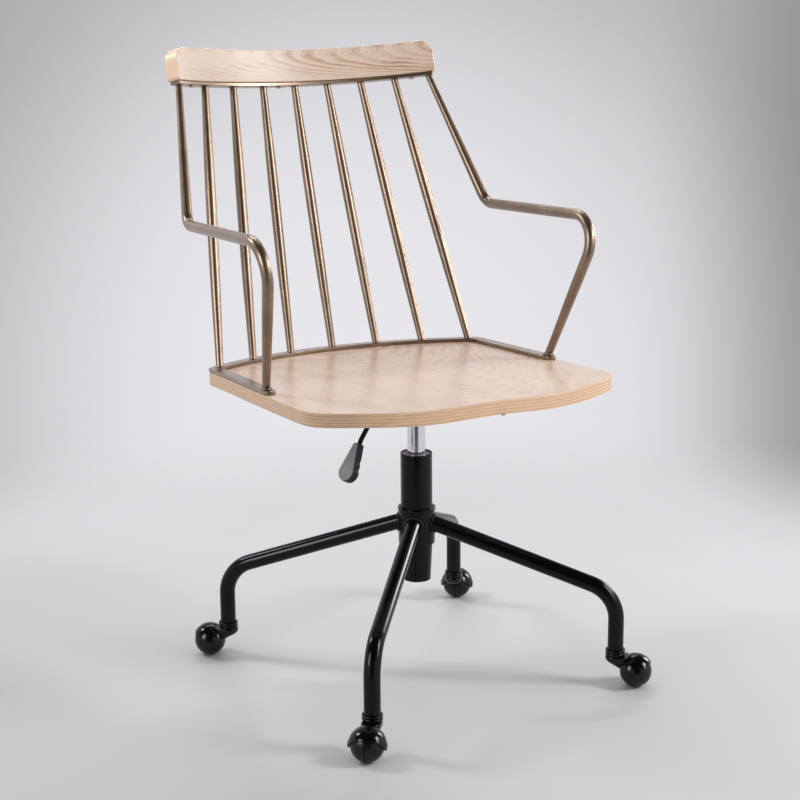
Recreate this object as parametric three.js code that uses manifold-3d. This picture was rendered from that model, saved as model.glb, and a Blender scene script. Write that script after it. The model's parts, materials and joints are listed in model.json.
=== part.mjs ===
// Swivel armchair: plywood seat, bronze spindle back with looped arms,
// gas-lift column on four bent tube legs with ball castors.
// Millimetres, +Z up, the chair faces -Y, origin on the floor under the column.
import * as THREE from 'three';
import { mergeVertices } from 'three/addons/utils/BufferGeometryUtils.js';
import Module from 'manifold-3d';

const wasm = await Module();
wasm.setup();

const DEGREE = Math.PI / 180;
const HALF = 1 / 2;
const ONE = 1;
const TWO = 2;
const THREE_TIMES = 3;
const QUARTER_TURN = 90;

// Clearances
const TOUCH_GAP = 0.3;
const SLIDE_GAP = 0.06;
const CUT_PAST = 2;
const WELD_TOLERANCE = 0.0001;

// Seat frame: raked so that the front edge is higher
const SEAT_HEIGHT = 484.6;
const SEAT_RAKE = 2.5;

// Column, hub and gas lift
const HUB_RADIUS = 28.7;
const HUB_LIP_RADIUS = 29.9;
const HUB_BOTTOM = 216;
const HUB_TOP = 274.7;
const HUB_LIP_HEIGHT = 4.5;
const HUB_BEVEL = 1.2;
const COLUMN_RADIUS = 25;
const COLUMN_FOOT_RADIUS = 22;
const COLUMN_WALL = 2;
const COLUMN_BELOW_SEAT = 121.8;
const COLUMN_TOP = SEAT_HEIGHT - COLUMN_BELOW_SEAT;
const COLUMN_BOTTOM = 155.1;
const COLUMN_TAPER_TOP = 216;
const COLUMN_FLOOR = 3;
const COLUMN_EDGE = 0.8;
const GROOVE_BELOW_TOP = 5;
const GROOVE_WIDTH = 1.6;
const GROOVE_DEPTH = 0.6;
const BUSH_RECESS = 1.5;
const BUSH_FOOT_SHARE = 0.3542;
const PISTON_RADIUS = 14;
const PISTON_BOTTOM = 200;
const PISTON_BELOW_SEAT = 44.6;
const PISTON_TOP = SEAT_HEIGHT - PISTON_BELOW_SEAT;
const PISTON_EDGE = 0.8;
const BUTTON_RADIUS = 4;
const BUTTON_PROUD = 4;
const BUTTON_TOP = PISTON_TOP + BUTTON_PROUD;
const BUTTON_LENGTH = 11;
const BUTTON_WELL_DEPTH = 12;
const COLUMN_SIDES = 24;
const BUTTON_SIDES = 12;

// Legs, each drawn along +X and then turned into place
const LEG_NAMES = ['front', 'right', 'back', 'left'];
const LEG_AZIMUTHS = [-130, -40, 50, 140];
const LEG_RADIUS = 12.5;
const LEG_WALL = 2;
const LEG_REACH = 317.5;
const LEG_INNER_REACH = 25;
const LEG_INNER_HEIGHT = 249.5;
const LEG_CORNER_HEIGHT = 150.4;
const LEG_BEND_RADIUS = 58;
const LEG_FOOT = 60;
const LEG_SIDES = 14;
const LEG_BEND_STEPS = 5;

// Leg sockets with two round beads
const COLLAR_BOTTOM = 50;
const COLLAR_RADIUS = 14.4;
const COLLAR_BEAD_RADIUS = 15.6;
const COLLAR_BEAD_HEIGHT = 4.2;
const COLLAR_BEAD_EASE = 1.1;
const SOCKET_PLUG_TOP = 82;
const SOCKET_BORE_TOP = 78;
const STEM_RADIUS = 5;
const STEM_BOTTOM = 42;
const SOCKET_SIDES = 14;

// Ball castors
const BALL_RADIUS = 25;
const BALL_OFFSET = 32.4;
const BALL_SEAM_HALF = 0.3;
const BALL_POLE = 24.2;
const BALL_SHOULDER = 23;
const BALL_SIDES = 16;
const BALL_STEPS = 5;
const AXLE_RADIUS = 2;
const AXLE_HALF_LENGTH = 27.6;
const AXLE_SIDES = 8;
const HOOD_RADIUS = 28.2;
const HOOD_INNER_RADIUS = 26.1;
const HOOD_ROUND = 18;
const HOOD_RISE = 10;
const HOOD_TOP_HEIGHT = 49.7;
const NECK_HALF_WIDTH = 15;
const NECK_WIDE_HALF_WIDTH = 17;
const NECK_END = 24;
const NECK_ROUND = 10;
const BOSS_RADIUS = 5.6;
const BOSS_HALF_WIDTH = 28.6;
const HOOD_BAND_HALF = 40;
// Side outline of the hood from the ball's centre, outward and up, as shares of the hood's radius
const HOOD_OUTLINE_SHARES = [
  [-1.29, 0.745], [-0.795, 0.37], [-0.37, -0.07], [-0.19, -0.19], [0, -0.227], [0.177, -0.156],
  [0.41, 0.14], [0.835, 0.565], [1.19, 0.89], [0.62, 1.45], [-1.15, 1.45], [-1.5, 1.17],
];
const NECK_REACH = 16;
const NECK_FOOT_HEIGHT = 18;
// Side outline of the neck as shares of its length from the far end, and of its height from its foot
const NECK_OUTLINE_SHARES = [[0, 1], [0, 0.81], [0.06, 0.71], [0.475, 0.41], [1, 0], [1, 1]];

// Seat board
const BOARD_THICKNESS = 21;
const BOARD_EDGE = 1.2;
const BOARD_HALF_WIDTH = 258.4;
const BOARD_FRONT = 243.5;
const BOARD_BACK = 313.8;
// Right half of the outline: share of the half width, and share of the reach to the front or back
const BOARD_FRONT_SHARES = [
  [0, 1], [0.155, 0.999], [0.294, 0.991], [0.426, 0.972], [0.542, 0.947], [0.65, 0.914], [0.743, 0.875],
  [0.82, 0.834], [0.882, 0.79], [0.929, 0.745], [0.964, 0.694], [0.987, 0.636], [0.998, 0.575],
  [1, 0.493], [0.998, 0.246],
];
const BOARD_BACK_SHARES = [
  [0.993, 0.032], [0.988, 0.255], [0.981, 0.51], [0.977, 0.707], [0.971, 0.738], [0.954, 0.759],
  [0.913, 0.787], [0.836, 0.833], [0.728, 0.881], [0.604, 0.923], [0.464, 0.957], [0.317, 0.982],
  [0.163, 0.996], [0, 1],
];

// Lower strap lying on the board
const STRAP_THICKNESS = 5.7;
const STRAP_HALF_WIDTH = 9.8;
const STRAP_ARC_RADIUS = 455;
const STRAP_BACK_Y = 301;
const STRAP_ARC_CENTRE_Y = STRAP_BACK_Y - STRAP_ARC_RADIUS;
const STRAP_ARC_STEPS = 16;
const STRAP_BACK_INSET = 16.8;
const STRAP_FRONT_INSET = 11.8;
const STRAP_SIDE_X_BACK = BOARD_HALF_WIDTH - STRAP_BACK_INSET;
const STRAP_SIDE_X_FRONT = BOARD_HALF_WIDTH - STRAP_FRONT_INSET;
const STRAP_TIP_Y = 2;
const STRAP_TIP_STEPS = 8;
const STRAP_CORNER_RUN = 5.6;
const STRAP_CORNER_Y_SHIFT = 6;

// Spindles
const SPINDLE_NAMES = ['left_3', 'left_2', 'left_1', 'middle', 'right_1', 'right_2', 'right_3'];
const SPINDLE_FOOT_SHARE = 0.324;
const SPINDLE_TOP_SHARE = 0.2423;
const SPINDLE_SIDES = 12;
const SPINDLE_RADIUS = 8.65;
// Share of the length from the foot, and share of the radius
const SPINDLE_TAPER_SHARES = [
  [0, 0.705], [0.05, 0.728], [0.15, 0.803], [0.3, 0.942], [0.45, 0.988], [0.6, 1],
  [0.7, 0.965], [0.83, 0.827], [0.94, 0.717], [1, 0.682],
];

// Back frame: the plane under the top strap, raked back from the seat frame
const BACK_RAKE = 10.7;
const BACK_ORIGIN_Y = 413.9;
const BACK_ORIGIN_Z = 440.4;
const BACK_ARC_RADIUS = 495;
const TOP_STRAP_THICKNESS = 5.5;
const TOP_STRAP_REACH_IN = 10.2;
const TOP_STRAP_REACH_OUT = 10.4;
const TOP_STRAP_HALF_ANGLE = 28.6;
const TOP_STRAP_STEPS = 22;
const RAIL_REACH_IN = 13;
const RAIL_REACH_OUT = 13.4;
const RAIL_FRONT_RADIUS = BACK_ARC_RADIUS - RAIL_REACH_IN;
const RAIL_BACK_RADIUS = BACK_ARC_RADIUS + RAIL_REACH_OUT;
const RAIL_PAST_STRAP_ANGLE = 0.6;
const RAIL_HALF_ANGLE = TOP_STRAP_HALF_ANGLE + RAIL_PAST_STRAP_ANGLE;
const RAIL_HEIGHT = 54.4;
const RAIL_TOP_ROUND = 25;
const RAIL_FOOT_ROUND = 6;
const RAIL_EDGE = 1.4;
const RAIL_STEPS = 18;
const RAIL_ROUND_STEPS = 6;
const RAIL_FOOT_STEPS = 3;

// Arms
const ARM_INSET_ANGLE = 0.9;
const ARM_FOOT_SHIFT = 1.4;
const ARM_FOOT_Y = 9;
const ARM_FRONT_FLARE = 22.8;
const ARM_BACK_FLARE = 13.8;
const ARM_FRONT_CORNER = [BOARD_HALF_WIDTH + ARM_FRONT_FLARE, -100.2, 233.6];
const ARM_BACK_CORNER = [BOARD_HALF_WIDTH + ARM_BACK_FLARE, 239.1, 235.9];
const ARM_FRONT_BEND = 45;
const ARM_BACK_BEND = 30;
const ARM_BEND_STEPS = 6;
const ARM_STATION_STEP = 62;
const ARM_SIDES = 12;
const ARM_RADIUS = 8.75;
// Share of the length from the foot, and share of the radius
const ARM_TAPER_SHARES = [
  [0, 0.73], [0.03, 0.743], [0.1, 0.834], [0.17, 0.937], [0.24, 0.983], [0.34, 1], [0.62, 1],
  [0.72, 0.96], [0.8, 0.857], [0.87, 0.754], [0.94, 0.663], [1, 0.617],
];

// Screws under the top strap
const RAIL_SCREW_NAMES = ['left', 'middle', 'right'];
const RAIL_SCREW_SHARES = [-3.5, -0.5, 3.5];
const RAIL_SCREW_HEAD_RADIUS = 4.6;
const RAIL_SCREW_HEAD_HEIGHT = 2.4;
const RAIL_SCREW_SHANK_RADIUS = 2;
const RAIL_SCREW_LENGTH = 20;
const SCREW_SIDES = 10;

// Seat mechanism: flange under the board, channel and column socket
const FLANGE_HALF_X = 100;
const FLANGE_HALF_Y = 80;
const FLANGE_THICKNESS = 2.5;
const CHANNEL_HALF_X = 45;
const CHANNEL_HALF_Y = 65;
const CHANNEL_DEPTH = 38;
const CHANNEL_WALL = 3;
const SOCKET_RADIUS = 19.5;
const SOCKET_BELOW_PISTON = 1;
const SOCKET_LENGTH = 29;
const SOCKET_TOP = PISTON_TOP - SOCKET_BELOW_PISTON;
const SOCKET_BOTTOM = SOCKET_TOP - SOCKET_LENGTH;
const BOLT_X = 82;
const BOLT_Y = 62;
const BOLT_HEAD_RADIUS = 6.2;
const BOLT_HEAD_HEIGHT = 3.6;
const BOLT_SHANK_RADIUS = 2.8;
const BOLT_LENGTH = 15;
const BOLT_NAMES = ['front_left', 'front_right', 'back_left', 'back_right'];
const BOLT_SIGNS = [[-1, -1], [1, -1], [-1, 1], [1, 1]];

// Small screw under the front edge of the board
const EDGE_SCREW_X = 18;
const EDGE_SCREW_Y = -232;
const EDGE_SCREW_HEAD_RADIUS = 3.4;
const EDGE_SCREW_HEAD_HEIGHT = 2.2;
const EDGE_SCREW_SHANK_RADIUS = 1.6;
const EDGE_SCREW_LENGTH = 10;

// Release lever, drawn in an upright plane through the column and turned to its side
const LEVER_AZIMUTH = 192;
const LEVER_ROD_RADIUS = 3.75;
const LEVER_PRESS_GAP = 0.5;
const LEVER_TIP_REACH = 1;
const LEVER_PIVOT_REACH = 30;
const LEVER_KNEE_REACH = 75.3;
const LEVER_GRIP_REACH = 113;
const LEVER_GRIP_DROP = 52.45;
const LEVER_KNEE_BEND = 16;
const LEVER_NECK_BEND = 14;
const LEVER_ROD_SIDES = 10;
const LEVER_BEND_STEPS = 4;
const LEVER_EMBED = 18;
const PIVOT_RADIUS = 1.5;
const PIVOT_HALF_LENGTH = 8.6;
const PIVOT_SIDES = 8;
const EAR_INNER = 5.4;
const EAR_THICKNESS = 2.4;
const EAR_HALF_LENGTH = 5;
const EAR_RISE = 4.2;
const SLOT_HALF_WIDTH = 5.6;
const SLOT_BELOW = 5;
const SLOT_ABOVE = 8.4;
const SLOT_LENGTH = 16;

// Lever handle: tapered paddle, face cap on its outer side
const GRIP_TILT = 26.6;
const GRIP_THICKNESS = 11.4;
const GRIP_CAP_THICKNESS = 2.2;
const GRIP_CAP_INSET = 0.7;
const GRIP_TOP_HALF = 5.2;
const GRIP_WIDE_HALF = 16.6;
const GRIP_WIDE_AT = 45;
const GRIP_LENGTH = 61.5;
const GRIP_ROUND_STEPS = 10;
const GRIP_NOTCH_DEPTH = 1.6;
const GRIP_NOTCHES_FROM = 22;
const GRIP_NOTCHES_TO = 44;
const GRIP_NOTCH_STEPS = 12;

const COLOURS = {
  bronze: [0x8a7358, 0.34, 0.95],
  seatWood: [0xe6c9ab, 0.5, 0],
  railWood: [0xd2a57c, 0.5, 0],
  enamel: [0x0c0d0f, 0.28, 0.3],
  castorShell: [0x08090a, 0.16, 0],
  castorBall: [0x0a0b0c, 0.24, 0],
  chrome: [0xd4d6da, 0.12, 1],
  bush: [0xb9bcc0, 0.5, 0],
  steel: [0x6f665c, 0.4, 0.9],
  mechanism: [0x17181a, 0.5, 0.4],
  grip: [0x16181a, 0.55, 0],
  gripFace: [0x5d6064, 0.5, 0],
};

const vector = (x, y, z) => new THREE.Vector3(x, y, z);
const chair = new THREE.Group();
chair.name = 'swivel_armchair';

const SEAT_PLACE = new THREE.Matrix4()
  .makeTranslation(0, 0, SEAT_HEIGHT)
  .multiply(new THREE.Matrix4().makeRotationX(-SEAT_RAKE * DEGREE));
const BACK_PLACE = SEAT_PLACE.clone()
  .multiply(new THREE.Matrix4().makeTranslation(0, BACK_ORIGIN_Y, BACK_ORIGIN_Z))
  .multiply(new THREE.Matrix4().makeRotationX(-BACK_RAKE * DEGREE));
const BACK_IN_SEAT = new THREE.Matrix4()
  .makeTranslation(0, BACK_ORIGIN_Y, BACK_ORIGIN_Z)
  .multiply(new THREE.Matrix4().makeRotationX(-BACK_RAKE * DEGREE));
const LEVER_PLACE = new THREE.Matrix4().makeRotationZ(LEVER_AZIMUTH * DEGREE);

function welded(geometry) {
  const bare = geometry.clone();
  bare.deleteAttribute('normal');
  bare.deleteAttribute('uv');
  const joined = mergeVertices(bare, WELD_TOLERANCE);
  const kept = [];
  const index = joined.index.array;
  for (let i = 0; i < index.length; i += THREE_TIMES) {
    const [a, b, c] = [index[i], index[i + ONE], index[i + TWO]];
    if (a !== b && b !== c && c !== a) kept.push(a, b, c);
  }
  joined.setIndex(kept);
  return joined;
}

function signedVolume(geometry) {
  const position = geometry.attributes.position;
  const index = geometry.index.array;
  const [a, b, c] = [vector(0, 0, 0), vector(0, 0, 0), vector(0, 0, 0)];
  let sum = 0;
  for (let i = 0; i < index.length; i += THREE_TIMES) {
    a.fromBufferAttribute(position, index[i]);
    b.fromBufferAttribute(position, index[i + ONE]);
    c.fromBufferAttribute(position, index[i + TWO]);
    sum += a.dot(b.cross(c));
  }
  return sum;
}

// Turns every face outward
function outward(geometry) {
  const whole = welded(geometry);
  if (signedVolume(whole) < 0) {
    const index = whole.index.array;
    for (let i = 0; i < index.length; i += THREE_TIMES) {
      const swap = index[i + ONE];
      index[i + ONE] = index[i + TWO];
      index[i + TWO] = swap;
    }
  }
  return whole;
}

function solidOf(geometry) {
  const whole = outward(geometry);
  return new wasm.Manifold(new wasm.Mesh({
    numProp: 3,
    vertProperties: new Float32Array(whole.attributes.position.array),
    triVerts: new Uint32Array(whole.index.array),
  }));
}

function geometryOf(solid) {
  const mesh = solid.getMesh();
  const geometry = new THREE.BufferGeometry();
  geometry.setAttribute('position', new THREE.BufferAttribute(new Float32Array(mesh.vertProperties), 3));
  geometry.setIndex(new THREE.BufferAttribute(new Uint32Array(mesh.triVerts), 1));
  return geometry;
}

function cut(base, tools) {
  return geometryOf(tools.reduce((rest, tool) => rest.subtract(solidOf(tool)), solidOf(base)));
}

// Adds one named piece with its own material
function piece(name, geometry, look) {
  const [color, roughness, metalness] = COLOURS[look];
  const body = outward(geometry);
  body.computeVertexNormals();
  const mesh = new THREE.Mesh(body, new THREE.MeshStandardMaterial({ color, roughness, metalness }));
  mesh.name = name;
  chair.add(mesh);
}

// Body turned about Z from pairs of radius and height
function turned(profile, sides) {
  const points = profile.map(([radius, height]) => new THREE.Vector2(radius, height));
  return new THREE.LatheGeometry(points, sides).rotateX(QUARTER_TURN * DEGREE);
}

const closedLoop = (profile) => [...profile, profile[0]];

// Lays a shape drawn upright along Z down along Y
const laidDown = (geometry) => geometry.rotateX(QUARTER_TURN * DEGREE);

// Upright bar between two heights
function post(radius, bottom, top, sides) {
  return turned([[0, bottom], [radius, bottom], [radius, top], [0, top]], sides);
}

function block(low, high) {
  const size = high.map((value, i) => value - low[i]);
  const middle = high.map((value, i) => (value + low[i]) * HALF);
  return new THREE.BoxGeometry(...size).translate(...middle);
}

function extruded(outline, bottom, top) {
  const shape = new THREE.Shape(outline.map(([x, y]) => new THREE.Vector2(x, y)));
  const height = top - bottom;
  return new THREE.ExtrudeGeometry(shape, { depth: height, bevelEnabled: false }).translate(0, 0, bottom);
}

// Joins rings of equal count into one skin; a pipe's rings close on themselves
function skin(rings, closesOnItself) {
  const count = rings[0].length;
  const positions = rings.flatMap((ring) => ring.flatMap((point) => point.toArray()));
  const index = [];
  const bands = closesOnItself ? rings.length : rings.length - ONE;
  for (let r = 0; r < bands; r += ONE) {
    const here = r * count;
    const next = ((r + ONE) % rings.length) * count;
    for (let k = 0; k < count; k += ONE) {
      const after = (k + ONE) % count;
      index.push(here + k, here + after, next + after, here + k, next + after, next + k);
    }
  }
  if (!closesOnItself) {
    const last = (rings.length - ONE) * count;
    for (let k = ONE; k < count - ONE; k += ONE) {
      index.push(0, k + ONE, k, last, last + k, last + k + ONE);
    }
  }
  const geometry = new THREE.BufferGeometry();
  geometry.setAttribute('position', new THREE.Float32BufferAttribute(positions, 3));
  geometry.setIndex(index);
  return geometry;
}

// Centre line through corners, each inner corner rounded by its bend radius
function bentLine(corners, bends, steps) {
  const line = [corners[0]];
  for (let i = ONE; i < corners.length - ONE; i += ONE) {
    const towards = corners[i].clone().sub(corners[i - ONE]).normalize();
    const away = corners[i + ONE].clone().sub(corners[i]).normalize();
    const turn = towards.angleTo(away);
    const reach = bends[i - ONE] * Math.tan(turn * HALF);
    const start = corners[i].clone().addScaledVector(towards, -reach);
    const inward = away.clone().addScaledVector(towards, -towards.dot(away)).normalize();
    const centre = start.clone().addScaledVector(inward, bends[i - ONE]);
    for (let k = 0; k <= steps; k += ONE) {
      const angle = turn * k / steps;
      line.push(centre.clone()
        .addScaledVector(inward, -bends[i - ONE] * Math.cos(angle))
        .addScaledVector(towards, bends[i - ONE] * Math.sin(angle)));
    }
  }
  line.push(corners[corners.length - ONE]);
  return line;
}

// Adds stations on stretches longer than the step
function stationed(line, step) {
  const stations = [line[0]];
  for (let i = ONE; i < line.length; i += ONE) {
    const parts = Math.ceil(line[i].distanceTo(line[i - ONE]) / step);
    for (let k = ONE; k <= parts; k += ONE) stations.push(line[i - ONE].clone().lerp(line[i], k / parts));
  }
  return stations;
}

function fromTable(table, share) {
  for (let i = ONE; i < table.length; i += ONE) {
    if (share <= table[i][0]) {
      const [lowShare, low] = table[i - ONE];
      const [highShare, high] = table[i];
      return low + (high - low) * (share - lowShare) / (highShare - lowShare);
    }
  }
  return table[table.length - ONE][ONE];
}

// Rings square to a line; trims slide the end rings along the line onto a plane or cylinder
function ringsAlong(line, radiusAt, sides, trims) {
  const lengths = line.map((point, i) => (i ? point.distanceTo(line[i - ONE]) : 0));
  const total = lengths.reduce((sum, value) => sum + value, 0);
  let run = 0;
  let across = null;
  let before = null;
  return line.map((point, i) => {
    run += lengths[i];
    const ahead = line[Math.min(i + ONE, line.length - ONE)].clone().sub(point).normalize();
    const behind = point.clone().sub(line[Math.max(i - ONE, 0)]).normalize();
    const along = i === 0 ? ahead : i === line.length - ONE ? behind : ahead.clone().add(behind).normalize();
    if (!across) {
      const guide = Math.abs(along.z) < HALF ? vector(0, 0, ONE) : vector(ONE, 0, 0);
      across = guide.addScaledVector(along, -guide.dot(along)).normalize();
    } else {
      across.applyQuaternion(new THREE.Quaternion().setFromUnitVectors(before, along));
    }
    before = along.clone();
    const other = along.clone().cross(across);
    const trim = i === 0 ? trims[0] : i === line.length - ONE ? trims[ONE] : null;
    const radius = radiusAt(run / total);
    return Array.from({ length: sides }, (_, k) => {
      const angle = TWO * Math.PI * k / sides;
      const spot = point.clone()
        .addScaledVector(across, radius * Math.cos(angle))
        .addScaledVector(other, radius * Math.sin(angle));
      return trim ? trim(spot, along) : spot;
    });
  });
}

const ontoPlane = (origin, normal) => (spot, along) => spot.clone()
  .addScaledVector(along, origin.clone().sub(spot).dot(normal) / along.dot(normal));

const ontoCylinder = (radius) => (spot, along) => {
  const a = along.x * along.x + along.y * along.y;
  const b = spot.x * along.x + spot.y * along.y;
  const c = spot.x * spot.x + spot.y * spot.y - radius * radius;
  return spot.clone().addScaledVector(along, (Math.sqrt(b * b - a * c) - b) / a);
};

function bar(line, radiusAt, sides, trims = [null, null]) {
  return skin(ringsAlong(line, radiusAt, sides, trims), false);
}

function pipe(line, radius, wall, sides, trims = [null, null]) {
  const outer = ringsAlong(line, () => radius, sides, trims);
  const inner = ringsAlong(line, () => radius - wall, sides, trims);
  return skin([...outer, ...inner.reverse()], true);
}

const onArc = (radius, degrees, centreY, z) => vector(
  radius * Math.sin(degrees * DEGREE), centreY + radius * Math.cos(degrees * DEGREE), z);

// Hub, outer tube and guide bush
const hubBore = COLUMN_RADIUS + TOUCH_GAP;
piece('hub', turned(closedLoop([
  [hubBore, HUB_BOTTOM], [HUB_RADIUS - HUB_BEVEL, HUB_BOTTOM], [HUB_RADIUS, HUB_BOTTOM + HUB_BEVEL],
  [HUB_RADIUS, HUB_TOP - HUB_LIP_HEIGHT - HUB_BEVEL], [HUB_LIP_RADIUS, HUB_TOP - HUB_LIP_HEIGHT],
  [HUB_LIP_RADIUS, HUB_TOP - HUB_BEVEL], [HUB_LIP_RADIUS - HUB_BEVEL, HUB_TOP], [hubBore, HUB_TOP],
]), COLUMN_SIDES), 'enamel');

const columnInner = COLUMN_RADIUS - COLUMN_WALL;
const grooveTop = COLUMN_TOP - GROOVE_BELOW_TOP;
const grooveBottom = grooveTop - GROOVE_WIDTH;
piece('column_tube', turned([
  [0, COLUMN_BOTTOM], [COLUMN_FOOT_RADIUS - COLUMN_EDGE, COLUMN_BOTTOM],
  [COLUMN_FOOT_RADIUS, COLUMN_BOTTOM + COLUMN_EDGE], [COLUMN_RADIUS, COLUMN_TAPER_TOP],
  [COLUMN_RADIUS, grooveBottom], [COLUMN_RADIUS - GROOVE_DEPTH, grooveBottom + GROOVE_DEPTH],
  [COLUMN_RADIUS - GROOVE_DEPTH, grooveTop - GROOVE_DEPTH], [COLUMN_RADIUS, grooveTop],
  [COLUMN_RADIUS, COLUMN_TOP - COLUMN_EDGE], [COLUMN_RADIUS - COLUMN_EDGE, COLUMN_TOP],
  [columnInner, COLUMN_TOP], [columnInner, COLUMN_TAPER_TOP],
  [COLUMN_FOOT_RADIUS - COLUMN_WALL, COLUMN_BOTTOM + COLUMN_FLOOR], [0, COLUMN_BOTTOM + COLUMN_FLOOR],
], COLUMN_SIDES), 'enamel');

const bushTop = COLUMN_TOP - BUSH_RECESS;
const bushBottom = COLUMN_TAPER_TOP + (COLUMN_TOP - COLUMN_TAPER_TOP) * BUSH_FOOT_SHARE;
piece('guide_bush', turned(closedLoop([
  [PISTON_RADIUS + SLIDE_GAP, bushBottom], [columnInner - TOUCH_GAP, bushBottom],
  [columnInner - TOUCH_GAP, bushTop], [PISTON_RADIUS + SLIDE_GAP, bushTop],
]), COLUMN_SIDES), 'bush');

// Gas piston with a well in its top for the release button
const wellRadius = BUTTON_RADIUS + TOUCH_GAP;
piece('gas_piston', turned([
  [0, PISTON_BOTTOM], [PISTON_RADIUS - PISTON_EDGE, PISTON_BOTTOM],
  [PISTON_RADIUS, PISTON_BOTTOM + PISTON_EDGE], [PISTON_RADIUS, PISTON_TOP - PISTON_EDGE],
  [PISTON_RADIUS - PISTON_EDGE, PISTON_TOP], [wellRadius, PISTON_TOP],
  [wellRadius, PISTON_TOP - BUTTON_WELL_DEPTH], [0, PISTON_TOP - BUTTON_WELL_DEPTH],
], COLUMN_SIDES), 'chrome');
piece('release_button', post(BUTTON_RADIUS, BUTTON_TOP - BUTTON_LENGTH, BUTTON_TOP, BUTTON_SIDES), 'steel');

// Four legs with their sockets and castors
function castorHood() {
  const onBall = (geometry) => solidOf(geometry.translate(BALL_OFFSET, 0, BALL_RADIUS));
  const sphere = (radius) => onBall(laidDown(new THREE.SphereGeometry(radius, HOOD_ROUND, HOOD_RISE)));
  const crosswise = (radius, halfWidth, sides) => onBall(
    new THREE.CylinderGeometry(radius, radius, halfWidth * TWO, sides));
  const fromSide = (outline) => solidOf(laidDown(extruded(outline, -HOOD_BAND_HALF, HOOD_BAND_HALF)));
  const hoodOutline = HOOD_OUTLINE_SHARES.map(([outwardShare, upShare]) => [
    BALL_OFFSET + outwardShare * HOOD_RADIUS, BALL_RADIUS + upShare * HOOD_RADIUS]);
  const neckOutline = NECK_OUTLINE_SHARES.map(([alongShare, upShare]) => [
    alongShare * (NECK_END + NECK_REACH) - NECK_REACH,
    NECK_FOOT_HEIGHT + upShare * (HOOD_TOP_HEIGHT - NECK_FOOT_HEIGHT)]);
  const roundEnd = Array.from({ length: NECK_ROUND + ONE }, (_, k) => {
    const angle = (QUARTER_TURN + k * TWO * QUARTER_TURN / NECK_ROUND) * DEGREE;
    return [NECK_HALF_WIDTH * Math.cos(angle), NECK_HALF_WIDTH * Math.sin(angle)];
  });
  const plan = [...roundEnd, [NECK_END, -NECK_WIDE_HALF_WIDTH], [NECK_END, NECK_WIDE_HALF_WIDTH]];
  const neck = solidOf(extruded(plan, 0, HOOD_TOP_HEIGHT)).intersect(fromSide(neckOutline));
  const stemBore = solidOf(
    post(STEM_RADIUS + TOUCH_GAP, STEM_BOTTOM - TOUCH_GAP, COLLAR_BOTTOM, SOCKET_SIDES));
  return geometryOf(sphere(HOOD_RADIUS)
    .intersect(fromSide(hoodOutline))
    .add(crosswise(BOSS_RADIUS, BOSS_HALF_WIDTH, SOCKET_SIDES))
    .add(neck)
    .subtract(sphere(HOOD_INNER_RADIUS))
    .subtract(stemBore)
    .subtract(crosswise(AXLE_RADIUS + TOUCH_GAP, HOOD_BAND_HALF, AXLE_SIDES)));
}

function ballHalf(side) {
  const dome = Array.from({ length: BALL_STEPS + ONE }, (_, k) => {
    const start = Math.asin(BALL_SEAM_HALF / BALL_RADIUS);
    const end = Math.asin(BALL_SHOULDER / BALL_RADIUS);
    const angle = start + (end - start) * k / BALL_STEPS;
    return [BALL_RADIUS * Math.cos(angle), BALL_RADIUS * Math.sin(angle)];
  });
  const bore = AXLE_RADIUS + TOUCH_GAP;
  return turned(closedLoop([[bore, BALL_SEAM_HALF], ...dome, [bore, BALL_POLE]]), BALL_SIDES)
    .rotateX(-side * QUARTER_TURN * DEGREE)
    .translate(BALL_OFFSET, 0, BALL_RADIUS);
}

const hoodGeometry = castorHood();
const innerReach = vector(LEG_INNER_REACH, 0, LEG_INNER_HEIGHT);
const legCorner = vector(LEG_REACH, 0, LEG_CORNER_HEIGHT);
const legFoot = vector(LEG_REACH, 0, LEG_FOOT);
const legLine = bentLine([innerReach, legCorner, legFoot], [LEG_BEND_RADIUS], LEG_BEND_STEPS);
const hubTrim = ontoCylinder(HUB_RADIUS + TOUCH_GAP);
const legGeometry = pipe(legLine, LEG_RADIUS, LEG_WALL, LEG_SIDES, [hubTrim, null]);

const plugRadius = LEG_RADIUS - LEG_WALL - TOUCH_GAP;
const collarTop = LEG_FOOT - TOUCH_GAP;
const stemBoreRadius = STEM_RADIUS + TOUCH_GAP;
const beadProfile = [COLLAR_BOTTOM, collarTop - COLLAR_BEAD_HEIGHT].flatMap((low) => [
  [COLLAR_RADIUS, low],
  [COLLAR_BEAD_RADIUS, low + COLLAR_BEAD_EASE],
  [COLLAR_BEAD_RADIUS, low + COLLAR_BEAD_HEIGHT - COLLAR_BEAD_EASE],
  [COLLAR_RADIUS, low + COLLAR_BEAD_HEIGHT],
]);
const socketGeometry = turned([
  [0, SOCKET_BORE_TOP], [stemBoreRadius, SOCKET_BORE_TOP], [stemBoreRadius, COLLAR_BOTTOM],
  ...beadProfile, [plugRadius, collarTop], [plugRadius, SOCKET_PLUG_TOP], [0, SOCKET_PLUG_TOP],
], SOCKET_SIDES);
const stemGeometry = post(STEM_RADIUS, STEM_BOTTOM, SOCKET_BORE_TOP - TOUCH_GAP, SOCKET_SIDES);
const axleGeometry = post(AXLE_RADIUS, -AXLE_HALF_LENGTH, AXLE_HALF_LENGTH, AXLE_SIDES)
  .rotateX(QUARTER_TURN * DEGREE).translate(BALL_OFFSET, 0, BALL_RADIUS);

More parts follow.
